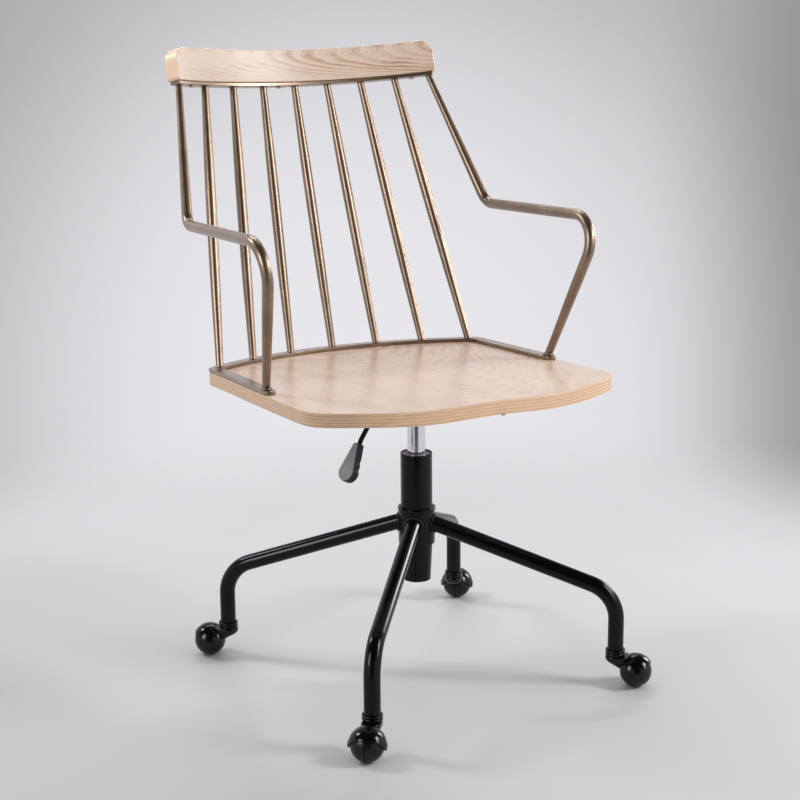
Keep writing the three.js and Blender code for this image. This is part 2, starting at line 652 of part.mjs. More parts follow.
LEG_NAMES.forEach((name, i) => {
  const turn = LEG_AZIMUTHS[i] * DEGREE;
  const atFoot = (geometry) => geometry.clone().translate(LEG_REACH, 0, 0).rotateZ(turn);
  piece(`leg_${name}`, legGeometry.clone().rotateZ(turn), 'enamel');
  piece(`socket_${name}`, atFoot(socketGeometry), 'enamel');
  piece(`castor_stem_${name}`, atFoot(stemGeometry), 'steel');
  piece(`castor_hood_${name}`, atFoot(hoodGeometry), 'castorShell');
  piece(`castor_axle_${name}`, atFoot(axleGeometry), 'steel');
  piece(`ball_${name}_a`, atFoot(ballHalf(ONE)), 'castorBall');
  piece(`ball_${name}_b`, atFoot(ballHalf(-ONE)), 'castorBall');
});

// Seat board with blind holes on its underside
function insetOutline(outline, inset) {
  const count = outline.length;
  return outline.map(([x, y], i) => {
    const [px, py] = outline[(i + count - ONE) % count];
    const [nx, ny] = outline[(i + ONE) % count];
    const length = Math.hypot(nx - px, ny - py);
    return [x - inset * (ny - py) / length, y + inset * (nx - px) / length];
  });
}

const rightOutline = [
  ...BOARD_FRONT_SHARES.map(([xShare, yShare]) => [xShare * BOARD_HALF_WIDTH, -yShare * BOARD_FRONT]),
  ...BOARD_BACK_SHARES.map(([xShare, yShare]) => [xShare * BOARD_HALF_WIDTH, yShare * BOARD_BACK]),
];
const mirroredOutline = rightOutline.slice(ONE, -ONE).reverse().map(([x, y]) => [-x, y]);
const boardOutline = [...rightOutline, ...mirroredOutline];
const boardBands = [[BOARD_EDGE, 0], [0, -BOARD_EDGE], [0, BOARD_EDGE - BOARD_THICKNESS],
  [BOARD_EDGE, -BOARD_THICKNESS]];
const boardRings = boardBands.map(([inset, z]) => insetOutline(boardOutline, inset)
  .map(([x, y]) => vector(x, y, z)));
const boltTip = BOLT_LENGTH - BOARD_THICKNESS - FLANGE_THICKNESS;
const boltHoles = BOLT_SIGNS.map(([sx, sy]) => post(
  BOLT_SHANK_RADIUS + TOUCH_GAP, -BOARD_THICKNESS - CUT_PAST, boltTip + TOUCH_GAP, SCREW_SIDES)
  .translate(sx * BOLT_X, sy * BOLT_Y, 0));
const edgeHole = post(EDGE_SCREW_SHANK_RADIUS + TOUCH_GAP, -BOARD_THICKNESS - CUT_PAST,
  EDGE_SCREW_LENGTH + TOUCH_GAP - BOARD_THICKNESS, SCREW_SIDES).translate(EDGE_SCREW_X, EDGE_SCREW_Y, 0);
const board = cut(skin(boardRings, false), [...boltHoles, edgeHole]);
piece('seat_board', board.applyMatrix4(SEAT_PLACE), 'seatWood');

const edgeScrewTop = -BOARD_THICKNESS - TOUCH_GAP;
const edgeScrewBottom = edgeScrewTop - EDGE_SCREW_HEAD_HEIGHT;
piece('edge_screw', turned([
  [0, edgeScrewBottom], [EDGE_SCREW_HEAD_RADIUS, edgeScrewBottom],
  [EDGE_SCREW_HEAD_RADIUS, edgeScrewTop], [EDGE_SCREW_SHANK_RADIUS, edgeScrewTop],
  [EDGE_SCREW_SHANK_RADIUS, EDGE_SCREW_LENGTH - BOARD_THICKNESS], [0, EDGE_SCREW_LENGTH - BOARD_THICKNESS],
], SCREW_SIDES).translate(EDGE_SCREW_X, EDGE_SCREW_Y, 0).applyMatrix4(SEAT_PLACE), 'steel');

// Lower strap: outer edge and inner edge of the right half, then mirrored
const outerArc = STRAP_ARC_RADIUS + STRAP_HALF_WIDTH;
const innerArc = STRAP_ARC_RADIUS - STRAP_HALF_WIDTH;
const strapCornerX = STRAP_SIDE_X_BACK - STRAP_CORNER_RUN;
const strapArc = (radius, reachX) => {
  const last = Math.asin(reachX / radius);
  return Array.from({ length: STRAP_ARC_STEPS + ONE }, (_, k) => {
    const angle = last * k / STRAP_ARC_STEPS;
    return [radius * Math.sin(angle), STRAP_ARC_CENTRE_Y + radius * Math.cos(angle)];
  });
};
const strapTip = Array.from({ length: STRAP_TIP_STEPS + ONE }, (_, k) => {
  const angle = -TWO * QUARTER_TURN * DEGREE * k / STRAP_TIP_STEPS;
  const across = STRAP_HALF_WIDTH * Math.cos(angle);
  return [STRAP_SIDE_X_FRONT + across, STRAP_TIP_Y + STRAP_HALF_WIDTH * Math.sin(angle)];
});
const outerSide = STRAP_SIDE_X_BACK + STRAP_HALF_WIDTH;
const outerCornerY = STRAP_ARC_CENTRE_Y + Math.sqrt(outerArc * outerArc - outerSide * outerSide);
const innerSide = STRAP_SIDE_X_BACK - STRAP_HALF_WIDTH;
const rightHalf = [
  ...strapArc(outerArc, strapCornerX), [outerSide - ONE, outerCornerY + ONE],
  [outerSide, outerCornerY - STRAP_CORNER_Y_SHIFT], ...strapTip, ...strapArc(innerArc, innerSide).reverse(),
];
const strapOutline = [...rightHalf, ...rightHalf.slice(ONE, -ONE).reverse().map(([x, y]) => [-x, y])];
const strapTop = TOUCH_GAP + STRAP_THICKNESS;
piece('lower_strap', extruded(strapOutline, TOUCH_GAP, strapTop).applyMatrix4(SEAT_PLACE), 'bronze');

// Spindles between the two straps
const footZ = strapTop + TOUCH_GAP;
const footPlane = ontoPlane(vector(0, 0, footZ), vector(0, 0, ONE));
const backOrigin = vector(0, 0, 0).applyMatrix4(BACK_IN_SEAT);
const backNormal = vector(0, 0, ONE).transformDirection(BACK_IN_SEAT);
const topPlane = ontoPlane(backOrigin, backNormal);
const footStep = SPINDLE_FOOT_SHARE * Math.asin(strapCornerX / STRAP_ARC_RADIUS) / DEGREE;
const topStep = SPINDLE_TOP_SHARE * TOP_STRAP_HALF_ANGLE;
const armAngle = TOP_STRAP_HALF_ANGLE - ARM_INSET_ANGLE;
SPINDLE_NAMES.forEach((name, i) => {
  const k = i - (SPINDLE_NAMES.length - ONE) * HALF;
  const foot = onArc(STRAP_ARC_RADIUS, k * footStep, STRAP_ARC_CENTRE_Y, footZ);
  const top = onArc(BACK_ARC_RADIUS, k * topStep, -BACK_ARC_RADIUS, 0).applyMatrix4(BACK_IN_SEAT);
  const line = SPINDLE_TAPER_SHARES.map(([share]) => foot.clone().lerp(top, share));
  const radiusAt = (share) => SPINDLE_RADIUS * fromTable(SPINDLE_TAPER_SHARES, share);
  const geometry = bar(line, radiusAt, SPINDLE_SIDES, [footPlane, topPlane]);
  piece(`spindle_${name}`, geometry.applyMatrix4(SEAT_PLACE), 'bronze');
});

// Looped arms
['left', 'right'].forEach((name, i) => {
  const side = i * TWO - ONE;
  const mirrored = ([x, y, z]) => vector(side * x, y, z);
  const foot = vector(side * (STRAP_SIDE_X_FRONT + ARM_FOOT_SHIFT), ARM_FOOT_Y, footZ);
  const top = onArc(BACK_ARC_RADIUS, side * armAngle, -BACK_ARC_RADIUS, 0).applyMatrix4(BACK_IN_SEAT);
  const corners = [foot, mirrored(ARM_FRONT_CORNER), mirrored(ARM_BACK_CORNER), top];
  const bent = bentLine(corners, [ARM_FRONT_BEND, ARM_BACK_BEND], ARM_BEND_STEPS);
  const line = stationed(bent, ARM_STATION_STEP);
  const radiusAt = (share) => ARM_RADIUS * fromTable(ARM_TAPER_SHARES, share);
  const geometry = bar(line, radiusAt, ARM_SIDES, [footPlane, topPlane]);
  piece(`arm_${name}`, geometry.applyMatrix4(SEAT_PLACE), 'bronze');
});

// Top strap and crest rail, both arcs in the back frame
const bandOutline = (front, back, halfAngle, steps) => {
  const edge = (radius) => Array.from({ length: steps + ONE }, (_, k) => {
    const spot = onArc(radius, halfAngle * (TWO * k / steps - ONE), -BACK_ARC_RADIUS, 0);
    return [spot.x, spot.y];
  });
  return [...edge(front), ...edge(back).reverse()];
};
const screwSpots = RAIL_SCREW_SHARES.map((share) => (
  onArc(BACK_ARC_RADIUS, share * topStep, -BACK_ARC_RADIUS, 0)));
const screwBore = RAIL_SCREW_SHANK_RADIUS + TOUCH_GAP;
const topStrapTop = TOUCH_GAP + TOP_STRAP_THICKNESS;
const strapBlank = extruded(
  bandOutline(BACK_ARC_RADIUS - TOP_STRAP_REACH_IN, BACK_ARC_RADIUS + TOP_STRAP_REACH_OUT,
    TOP_STRAP_HALF_ANGLE, TOP_STRAP_STEPS), TOUCH_GAP, topStrapTop);
const strapBores = screwSpots.map((spot) => post(screwBore, -CUT_PAST, topStrapTop + CUT_PAST, SCREW_SIDES)
  .translate(spot.x, spot.y, 0));
piece('top_strap', cut(strapBlank, strapBores).applyMatrix4(BACK_PLACE), 'bronze');

function railBlank() {
  const bottom = topStrapTop + TOUCH_GAP;
  const top = bottom + RAIL_HEIGHT;
  const middleRadius = (RAIL_FRONT_RADIUS + RAIL_BACK_RADIUS) * HALF;
  const reach = RAIL_HALF_ANGLE * DEGREE * middleRadius;
  const roundings = (round, steps) => Array.from({ length: steps }, (_, k) => (
    round * (ONE - Math.cos(QUARTER_TURN * DEGREE * k / steps))));
  const topRound = roundings(RAIL_TOP_ROUND, RAIL_ROUND_STEPS);
  const footRound = roundings(RAIL_FOOT_ROUND, RAIL_FOOT_STEPS);
  const near = [...topRound, ...footRound, RAIL_TOP_ROUND]
    .sort((a, b) => a - b)
    .filter((value, i, all) => !i || value - all[i - ONE] > TOUCH_GAP);
  const lowered = (distance, round) => (distance >= round ? 0
    : round - Math.sqrt(round * round - (round - distance) * (round - distance)));
  const inner = reach - RAIL_TOP_ROUND;
  const between = Array.from(
    { length: RAIL_STEPS - ONE }, (_, k) => inner * (TWO * (k + ONE) / RAIL_STEPS - ONE));
  const leftEnd = near.map((value) => value - reach);
  const rightEnd = near.map((value) => reach - value).reverse();
  const stations = [...leftEnd, ...between, ...rightEnd];
  return skin(stations.map((arc) => {
    const distance = reach - Math.abs(arc);
    const low = bottom + lowered(distance, RAIL_FOOT_ROUND);
    const high = top - lowered(distance, RAIL_TOP_ROUND);
    const angle = arc / middleRadius / DEGREE;
    return [
      [RAIL_FRONT_RADIUS + RAIL_EDGE, low], [RAIL_BACK_RADIUS - RAIL_EDGE, low],
      [RAIL_BACK_RADIUS, low + RAIL_EDGE], [RAIL_BACK_RADIUS, high - RAIL_EDGE],
      [RAIL_BACK_RADIUS - RAIL_EDGE, high], [RAIL_FRONT_RADIUS + RAIL_EDGE, high],
      [RAIL_FRONT_RADIUS, high - RAIL_EDGE], [RAIL_FRONT_RADIUS, low + RAIL_EDGE],
    ].map(([radius, height]) => onArc(radius, angle, -BACK_ARC_RADIUS, height));
  }), false);
}
const railBores = screwSpots.map((spot) => post(screwBore, 0, RAIL_SCREW_LENGTH + TOUCH_GAP, SCREW_SIDES)
  .translate(spot.x, spot.y, 0));
piece('crest_rail', cut(railBlank(), railBores).applyMatrix4(BACK_PLACE), 'railWood');

RAIL_SCREW_NAMES.forEach((name, i) => {
  const headEdge = RAIL_SCREW_HEAD_HEIGHT * HALF;
  piece(`rail_screw_${name}`, turned([
    [0, -RAIL_SCREW_HEAD_HEIGHT], [RAIL_SCREW_HEAD_RADIUS - headEdge, -RAIL_SCREW_HEAD_HEIGHT],
    [RAIL_SCREW_HEAD_RADIUS, -headEdge], [RAIL_SCREW_HEAD_RADIUS, 0], [RAIL_SCREW_SHANK_RADIUS, 0],
    [RAIL_SCREW_SHANK_RADIUS, RAIL_SCREW_LENGTH], [0, RAIL_SCREW_LENGTH],
  ], SCREW_SIDES).translate(screwSpots[i].x, screwSpots[i].y, 0).applyMatrix4(BACK_PLACE), 'steel');
});

// Seat mechanism
const flangeTop = -BOARD_THICKNESS - TOUCH_GAP;
const flangeBottom = flangeTop - FLANGE_THICKNESS;
const channelBottom = flangeTop - CHANNEL_DEPTH;
const innerX = CHANNEL_HALF_X - CHANNEL_WALL;
const innerY = CHANNEL_HALF_Y - CHANNEL_WALL;
const leverHeight = BUTTON_TOP + LEVER_PRESS_GAP + LEVER_ROD_RADIUS;
const inSeat = (geometry) => geometry.applyMatrix4(SEAT_PLACE);
const flange = solidOf(inSeat(block(
  [-FLANGE_HALF_X, -FLANGE_HALF_Y, flangeBottom], [FLANGE_HALF_X, FLANGE_HALF_Y, flangeTop])));
const channel = solidOf(inSeat(block(
  [-CHANNEL_HALF_X, -CHANNEL_HALF_Y, channelBottom], [CHANNEL_HALF_X, CHANNEL_HALF_Y, flangeTop])));
const hollow = solidOf(inSeat(block(
  [-innerX, -innerY, channelBottom + CHANNEL_WALL], [innerX, innerY, flangeTop + CUT_PAST])));
const socketPost = solidOf(post(SOCKET_RADIUS, SOCKET_BOTTOM, SOCKET_TOP, COLUMN_SIDES));
const socketBore = solidOf(post(
  PISTON_RADIUS + TOUCH_GAP, SOCKET_BOTTOM - CUT_PAST, SOCKET_TOP + CUT_PAST, COLUMN_SIDES));
const flangeBores = BOLT_SIGNS.map(([sx, sy]) => solidOf(inSeat(post(
  BOLT_SHANK_RADIUS + TOUCH_GAP, flangeBottom - CUT_PAST, flangeTop + CUT_PAST, SCREW_SIDES)
  .translate(sx * BOLT_X, sy * BOLT_Y, 0))));
const earFloor = SEAT_HEIGHT + channelBottom + CHANNEL_WALL * HALF;
const ears = [-ONE, ONE].map((side) => {
  const near = side * EAR_INNER;
  const far = side * (EAR_INNER + EAR_THICKNESS);
  const ear = block(
    [LEVER_PIVOT_REACH - EAR_HALF_LENGTH, Math.min(near, far), earFloor],
    [LEVER_PIVOT_REACH + EAR_HALF_LENGTH, Math.max(near, far), leverHeight + EAR_RISE]);
  return solidOf(ear.applyMatrix4(LEVER_PLACE));
});
const pivotBar = (radius, halfLength) => post(radius, -halfLength, halfLength, PIVOT_SIDES)
  .rotateX(QUARTER_TURN * DEGREE).translate(LEVER_PIVOT_REACH, 0, leverHeight);
const atLever = (geometry) => geometry.applyMatrix4(LEVER_PLACE);
const pivotBore = solidOf(atLever(pivotBar(PIVOT_RADIUS + TOUCH_GAP, PIVOT_HALF_LENGTH + CUT_PAST)));
const rodSlot = solidOf(atLever(block(
  [CHANNEL_HALF_X - SLOT_LENGTH * HALF, -SLOT_HALF_WIDTH, leverHeight - SLOT_BELOW],
  [CHANNEL_HALF_X + SLOT_LENGTH * HALF, SLOT_HALF_WIDTH, leverHeight + SLOT_ABOVE])));
let mechanism = flange.add(channel).subtract(hollow).add(socketPost);
mechanism = ears.reduce((rest, ear) => rest.add(ear), mechanism).subtract(socketBore);
mechanism = mechanism.subtract(pivotBore).subtract(rodSlot);
mechanism = flangeBores.reduce((rest, bore) => rest.subtract(bore), mechanism);
piece('seat_mechanism', geometryOf(mechanism), 'mechanism');

BOLT_NAMES.forEach((name, i) => {
  const [sx, sy] = BOLT_SIGNS[i];
  const headTop = flangeBottom - TOUCH_GAP;
  const headBottom = headTop - BOLT_HEAD_HEIGHT;
  piece(`mount_bolt_${name}`, inSeat(turned([
    [0, headBottom], [BOLT_HEAD_RADIUS, headBottom], [BOLT_HEAD_RADIUS, headTop],
    [BOLT_SHANK_RADIUS, headTop], [BOLT_SHANK_RADIUS, boltTip], [0, boltTip],
  ], SCREW_SIDES).translate(sx * BOLT_X, sy * BOLT_Y, 0)), 'steel');
});

// Release lever rod, pivot and handle
const gripTop = vector(LEVER_GRIP_REACH, 0, leverHeight - LEVER_GRIP_DROP);
const gripAlong = vector(Math.sin(GRIP_TILT * DEGREE), 0, -Math.cos(GRIP_TILT * DEGREE));
const rodEnd = gripTop.clone().addScaledVector(gripAlong, LEVER_EMBED);
const leverLine = bentLine([
  vector(-LEVER_TIP_REACH, 0, leverHeight), vector(LEVER_KNEE_REACH, 0, leverHeight),
  gripTop.clone().addScaledVector(gripAlong, -LEVER_NECK_BEND * HALF), rodEnd,
], [LEVER_KNEE_BEND, LEVER_NECK_BEND], LEVER_BEND_STEPS);
const leverRod = bar(leverLine, () => LEVER_ROD_RADIUS, LEVER_ROD_SIDES);
const crossBore = pivotBar(PIVOT_RADIUS + TOUCH_GAP, LEVER_ROD_RADIUS + CUT_PAST);
piece('lever_rod', atLever(cut(leverRod, [crossBore])), 'enamel');
piece('lever_pivot', atLever(pivotBar(PIVOT_RADIUS, PIVOT_HALF_LENGTH)), 'steel');

// The handle's outline: distance along it, and half width; notches on the front edge
function gripOutline(shrink, notched) {
  const wide = GRIP_WIDE_HALF - shrink;
  const narrow = GRIP_TOP_HALF - shrink;
  const widthAt = (distance) => narrow + (wide - narrow) * Math.min(distance / GRIP_WIDE_AT, ONE);
  const tipRound = Array.from({ length: GRIP_ROUND_STEPS + ONE }, (_, k) => {
    const angle = (TWO * QUARTER_TURN * k / GRIP_ROUND_STEPS - QUARTER_TURN) * DEGREE;
    return [wide * Math.sin(angle), -GRIP_WIDE_AT - (GRIP_LENGTH - shrink - GRIP_WIDE_AT) * Math.cos(angle)];
  });
  const notches = Array.from({ length: GRIP_NOTCH_STEPS + ONE }, (_, k) => {
    const share = k / GRIP_NOTCH_STEPS;
    const distance = GRIP_NOTCHES_TO + (GRIP_NOTCHES_FROM - GRIP_NOTCHES_TO) * share;
    const dip = notched ? GRIP_NOTCH_DEPTH * Math.abs(Math.sin(share * TWO * Math.PI)) : 0;
    return [widthAt(distance) - dip, -distance];
  });
  const top = -shrink;
  return [[-narrow, top], ...tipRound, ...notches, [narrow, top]];
}
const gripPlace = (geometry) => {
  const outwardFace = vector(Math.cos(GRIP_TILT * DEGREE), 0, Math.sin(GRIP_TILT * DEGREE));
  const basis = new THREE.Matrix4().makeBasis(
    vector(0, ONE, 0), gripAlong.clone().negate(), outwardFace);
  return geometry.applyMatrix4(basis).translate(gripTop.x, gripTop.y, gripTop.z);
};
const gripBack = -GRIP_THICKNESS * HALF;
const gripFront = GRIP_THICKNESS * HALF;
const gripBody = gripPlace(extruded(gripOutline(0, true), gripBack, gripFront));
const boreMouth = gripTop.clone().addScaledVector(gripAlong, -CUT_PAST);
const boreEnd = rodEnd.clone().addScaledVector(gripAlong, TOUCH_GAP);
const embedBore = bar([boreMouth, boreEnd], () => LEVER_ROD_RADIUS + TOUCH_GAP, LEVER_ROD_SIDES);
piece('lever_handle', cut(gripBody, [embedBore]).applyMatrix4(LEVER_PLACE), 'grip');
const capLow = gripFront + TOUCH_GAP;
const capBlank = extruded(gripOutline(GRIP_CAP_INSET, false), capLow, capLow + GRIP_CAP_THICKNESS);
piece('lever_face_cap', atLever(gripPlace(capBlank)), 'gripFace');

export default chair;
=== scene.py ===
"""Swivel armchair: veneered plywood, bronze back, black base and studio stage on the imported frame."""

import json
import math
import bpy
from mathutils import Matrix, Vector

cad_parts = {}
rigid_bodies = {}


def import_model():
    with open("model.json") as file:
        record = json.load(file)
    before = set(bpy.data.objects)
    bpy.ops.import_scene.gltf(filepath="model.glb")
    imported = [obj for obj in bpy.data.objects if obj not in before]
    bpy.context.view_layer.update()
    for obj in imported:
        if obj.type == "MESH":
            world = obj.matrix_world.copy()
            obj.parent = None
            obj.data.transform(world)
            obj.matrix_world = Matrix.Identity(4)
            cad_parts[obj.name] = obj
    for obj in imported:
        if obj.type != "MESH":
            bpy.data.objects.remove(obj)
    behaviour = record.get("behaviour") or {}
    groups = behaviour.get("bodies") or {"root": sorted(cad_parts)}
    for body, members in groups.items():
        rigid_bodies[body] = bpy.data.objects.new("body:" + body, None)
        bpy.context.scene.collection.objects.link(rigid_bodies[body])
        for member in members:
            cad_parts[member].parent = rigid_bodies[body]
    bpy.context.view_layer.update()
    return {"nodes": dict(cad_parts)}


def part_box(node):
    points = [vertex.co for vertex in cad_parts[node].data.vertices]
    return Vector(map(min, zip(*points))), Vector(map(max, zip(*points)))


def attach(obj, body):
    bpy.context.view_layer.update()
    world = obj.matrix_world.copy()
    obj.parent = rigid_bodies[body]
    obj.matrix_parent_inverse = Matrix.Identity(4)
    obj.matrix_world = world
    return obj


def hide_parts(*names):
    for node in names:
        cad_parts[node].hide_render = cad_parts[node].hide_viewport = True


bl_info = {
    "name": "Swivel Armchair",
    "version": (1, 0, 0),
    "blender": (4, 5, 0),
    "location": "View3D > Sidebar > Armchair",
    "description": "Dresses the packed frame of a swivel armchair in wood, bronze and black enamel",
    "category": "Add Mesh",
}

import bmesh
import bpy
from mathutils import Matrix, Vector

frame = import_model()

TURN = 2 * math.pi
QUARTER = TURN / 4
UP = Vector((0, 0, 1))
MERGE_GAP = 0.000001
TOUCH_GAP = 0.0003
SHARP_ANGLE, LIP_ANGLE, RIM_ANGLE = math.radians(32), math.radians(45), math.radians(60)
STATION_STEP = 0.008

# How finely each round form is divided
EDGE_STEPS, BROAD_EDGE_STEPS, CORNER_STEPS = 3, 4, 16
TURNED_STEPS, BOSS_STEPS, COLLAR_STEPS = 96, 48, 56
TUBE_SIDES, LEVER_SIDES = 40, 32
BEND_STEPS = 20
BEAD_STEPS, FILLET_STEPS = 10, 6
DROP_SEGMENTS, DROP_RINGS = 10, 6
HOOD_STEPS, HOOD_ROWS, HOOD_HALVINGS = 96, 22, 30
NECK_STEPS = 64
BALL_STEPS = 28
OUTLINE_STEPS = 6
SADDLE_CUTS, CUTS_TO_A_WAVE = 22, 9
ARC_STEPS, STRAP_CORNER_STEPS, STRAP_TIP_STEPS = 48, 8, 24
BAND_STRIPS = 72
GRIP_ROUND_STEPS, GRIP_EDGE_STEPS = 40, 32
FLOOR_STEPS = 128
# The board's outline is read from the CAD node away from its faces and from its middle
FACE_ROOM, OUTLINE_FROM = 0.001, 0.2

LEGS = {"front": -130, "right": -40, "back": 50, "left": 140}
SPINDLES = ["left_3", "left_2", "left_1", "middle", "right_1", "right_2", "right_3"]
SPINDLE_TAPER_SHARES = [
    (0, 0.705), (0.05, 0.728), (0.15, 0.803), (0.3, 0.942), (0.45, 0.988), (0.6, 1),
    (0.7, 0.965), (0.83, 0.827), (0.94, 0.717), (1, 0.682),
]
ARM_TAPER_SHARES = [
    (0, 0.73), (0.03, 0.743), (0.1, 0.834), (0.17, 0.937), (0.24, 0.983), (0.34, 1), (0.62, 1),
    (0.72, 0.96), (0.8, 0.857), (0.87, 0.754), (0.94, 0.663), (1, 0.617),
]
# Lower edge of the hood seen from its side, from the ball's centre, as shares of the hood's radius
HOOD_EDGE_SHARES = [
    (-1.29, 0.745), (-0.795, 0.37), (-0.37, -0.07), (-0.19, -0.19), (0, -0.227), (0.177, -0.156),
    (0.41, 0.14), (0.835, 0.565), (1.19, 0.89),
]
# Neck of the hood as shares of the collar's radius: depth below the collar, far end, half width
NECK_ROWS = [
    (0.02, 0.84, 0.8), (0.06, 0.95, 0.9), (0.16, 1.01, 0.95), (0.36, 1.01, 0.95), (0.52, 0.94, 0.92),
    (0.68, 0.78, 0.86), (0.84, 0.53, 0.79), (1.0, 0.25, 0.72), (1.16, -0.02, 0.66), (1.3, -0.22, 0.6),
]
# Angles from the hood's pole between which its edge is looked for
HOOD_EDGE_BETWEEN = (0.2, 2.0)
# Width and height of the rings of weld on the back, in weld sizes
SPINDLE_RING, ARM_RING = (1.0, 1.4), (1.4, 1.6)

# Cells of noise to the metre, for three axes where they differ
CELLS = {
    "pores": (70, 1300, 1),
    "fibre": (12, 420, 1),
    "flame": (6, 34, 1),
    "seat_wander": (9, 2.5, 1),
    "rail_wander": (7, 30, 1),
    "seat_plies": (40, 40, 1500),
    "rail_plies": (40, 1500, 40),
    "swell": (18, 9, 4),
    "brush": (700, 700, 60),
    "drawn": (40, 40, 2600),
    "rubbed": 22.0,
    "film": 30.0,
    "mottle": 38.0,
    "gloss": 40.0,
    "peel": 420.0,
    "floor": 3.0,
}
# Growth lines: metres from one to the next, how sharply they arch and how far they wander
SEAT_LINES, RAIL_LINES = (0.034, 7, 0.12), (0.04, 110, 0.03)
# Heart of the figure: its shift from the seat's middle, and its height in the rail as a share
SEAT_HEART, RAIL_HEART = 0.03, 0.86
# Depth from the rail's faces at which its plies start to show, and at which they show in full
RAIL_EDGE_BAND = (0.0005, 0.0014)

# Plain finishes: roughness, grains to the metre, depth of the grain in metres, how metallic
COATED = {
    "castor_shell": (0.16, 500.0, 0.00002, 0.0),
    "castor_ball": (0.3, 700.0, 0.00004, 0.0),
    "bush": (0.45, 900.0, 0.00003, 0.0),
    "steel": (0.34, 1200.0, 0.00002, 0.9),
    "mechanism": (0.46, 800.0, 0.00005, 0.0),
    "grip": (0.5, 1500.0, 0.00008, 0.0),
    "grip_face": (0.46, 1500.0, 0.00005, 0.0),
}

# Lamps by the name of their power: place, target and size in metres
LAMPS = {
    "key": ((-1.8, 1.85, 2.5), (0, 0, 0.45), (0.5, 0.8)),
    "fill": ((2.0, -1.7, 2.0), (0, 0, 0.45), (0.8, 0.9)),
    "top": ((0.6, 1.9, 2.9), (0.3, 0, 0.4), (2.2, 0.12)),
}
# Lamps that draw the streaks on metal and enamel, and the pieces that they pass by
GLINTS = {
    "left_glint": ((-2.45, -0.5, 1.45), (0, 0, 0.45), (0.8, 1.2)),
    "right_glint": ((2.4, 0.35, 1.1), (0, 0, 0.3), (0.5, 0.9)),
    "front_glint": ((1.65, -2.0, 1.35), (0, 0, 0.45), (0.3, 0.9)),
}
WITHOUT_GLINTS = ("seat_panel", "floor")
# Middle of the glow left of the reference view's axis, and the horizon's band under it
GLOW_SHIFT, HORIZON_DROP = 0.02, 0.1
# Where each part of the backdrop begins and where it is full, in parts of a direction of length 1
BACKDROP_SPANS = {
    "glow": (0.085, 0.0),
    "ahead": (0.0, 0.5),
    "horizon": (0.06, 0.0),
    "dim_right": (0.13, 0.25),
    "dim_left": (-0.1, -0.26),
    "panel_foot": (0.24, 0.42),
    "panel_head": (0.75, 0.6),
    "panel_ahead": (0.1, 0.5),
    "wall_height": (0.6, 0.35),
    "wall_right": (0.34, 0.48),
    "wall_left": (-0.24, -0.45),
    "dark_room": (0.6, 0.2),
    "off_view": (0.94, 0.85),
    "sky": (-0.3, 0.8),
}
# Painted shade on the floor, as where a lamp's light ends: the floor is darker beyond a line in plan:
# its normal, and where the shade begins and is full
PAINTED_SHADE_NORMAL = (-0.906, -0.423, 0)
PAINTED_SHADE_SPAN = (0.3, 0.48)


def length(name, description, default):
    """A size in metres."""
    return bpy.props.FloatProperty(
        name=name, description=description, default=default, unit="LENGTH", precision=4)


def angle(name, description, degrees):
    """An angle, given in degrees."""
    return bpy.props.FloatProperty(
        name=name, description=description, default=math.radians(degrees), subtype="ANGLE")


def colour(name, description, default):
    """A linear colour."""
    return bpy.props.FloatVectorProperty(
        name=name, description=description, default=default, size=3, subtype="COLOR", min=0, max=1)


def amount(name, description, default):
    """A plain number."""
    return bpy.props.FloatProperty(name=name, description=description, default=default)


class SeatSizes(bpy.types.PropertyGroup):
    height: length("Height", "Height of the seat's top over the column", 0.4846)
    rake: angle("Rake", "Rise of the seat towards its front", 2.5)
    thickness: length("Board thickness", "Thickness of the plywood board", 0.021)
    edge: length("Board edge", "Rounding of the board's edges", 0.0014)
    plies: bpy.props.IntProperty(name="Plies", description="Plies in the board", default=9)
    wave: length("Saddle wave", "Rise and fall of the board at its front edge", 0.0015)
    wave_pitch: length("Wave pitch", "From the middle of the front edge to a thigh hollow", 0.11)
    wave_front: length("Wave front", "Where the wave has its full height", -0.21)
    wave_back: length("Wave back", "Where the wave has faded out", -0.03)
    strap_thickness: length("Strap thickness", "Thickness of the strap on the board", 0.0057)
    strap_half: length("Strap half width", "Half the width of the strap", 0.0098)
    strap_radius: length("Strap radius", "Radius of the strap's back arc", 0.455)
    strap_back: length("Strap back", "Where the strap's back arc meets the middle", 0.301)
    strap_side_back: length("Strap side, back", "Middle line of the strap's side at its back", 0.2416)
    strap_side_front: length("Strap side, front", "Middle line of the strap's side at its tip", 0.2466)
    strap_tip: length("Strap tip", "Where the round tips are centred", 0.002)
    strap_corner_run: length("Strap corner", "Rounding run at the back corners", 0.0056)
    strap_edge: length("Strap edge", "Rounding of the strap's edges", 0.0008)


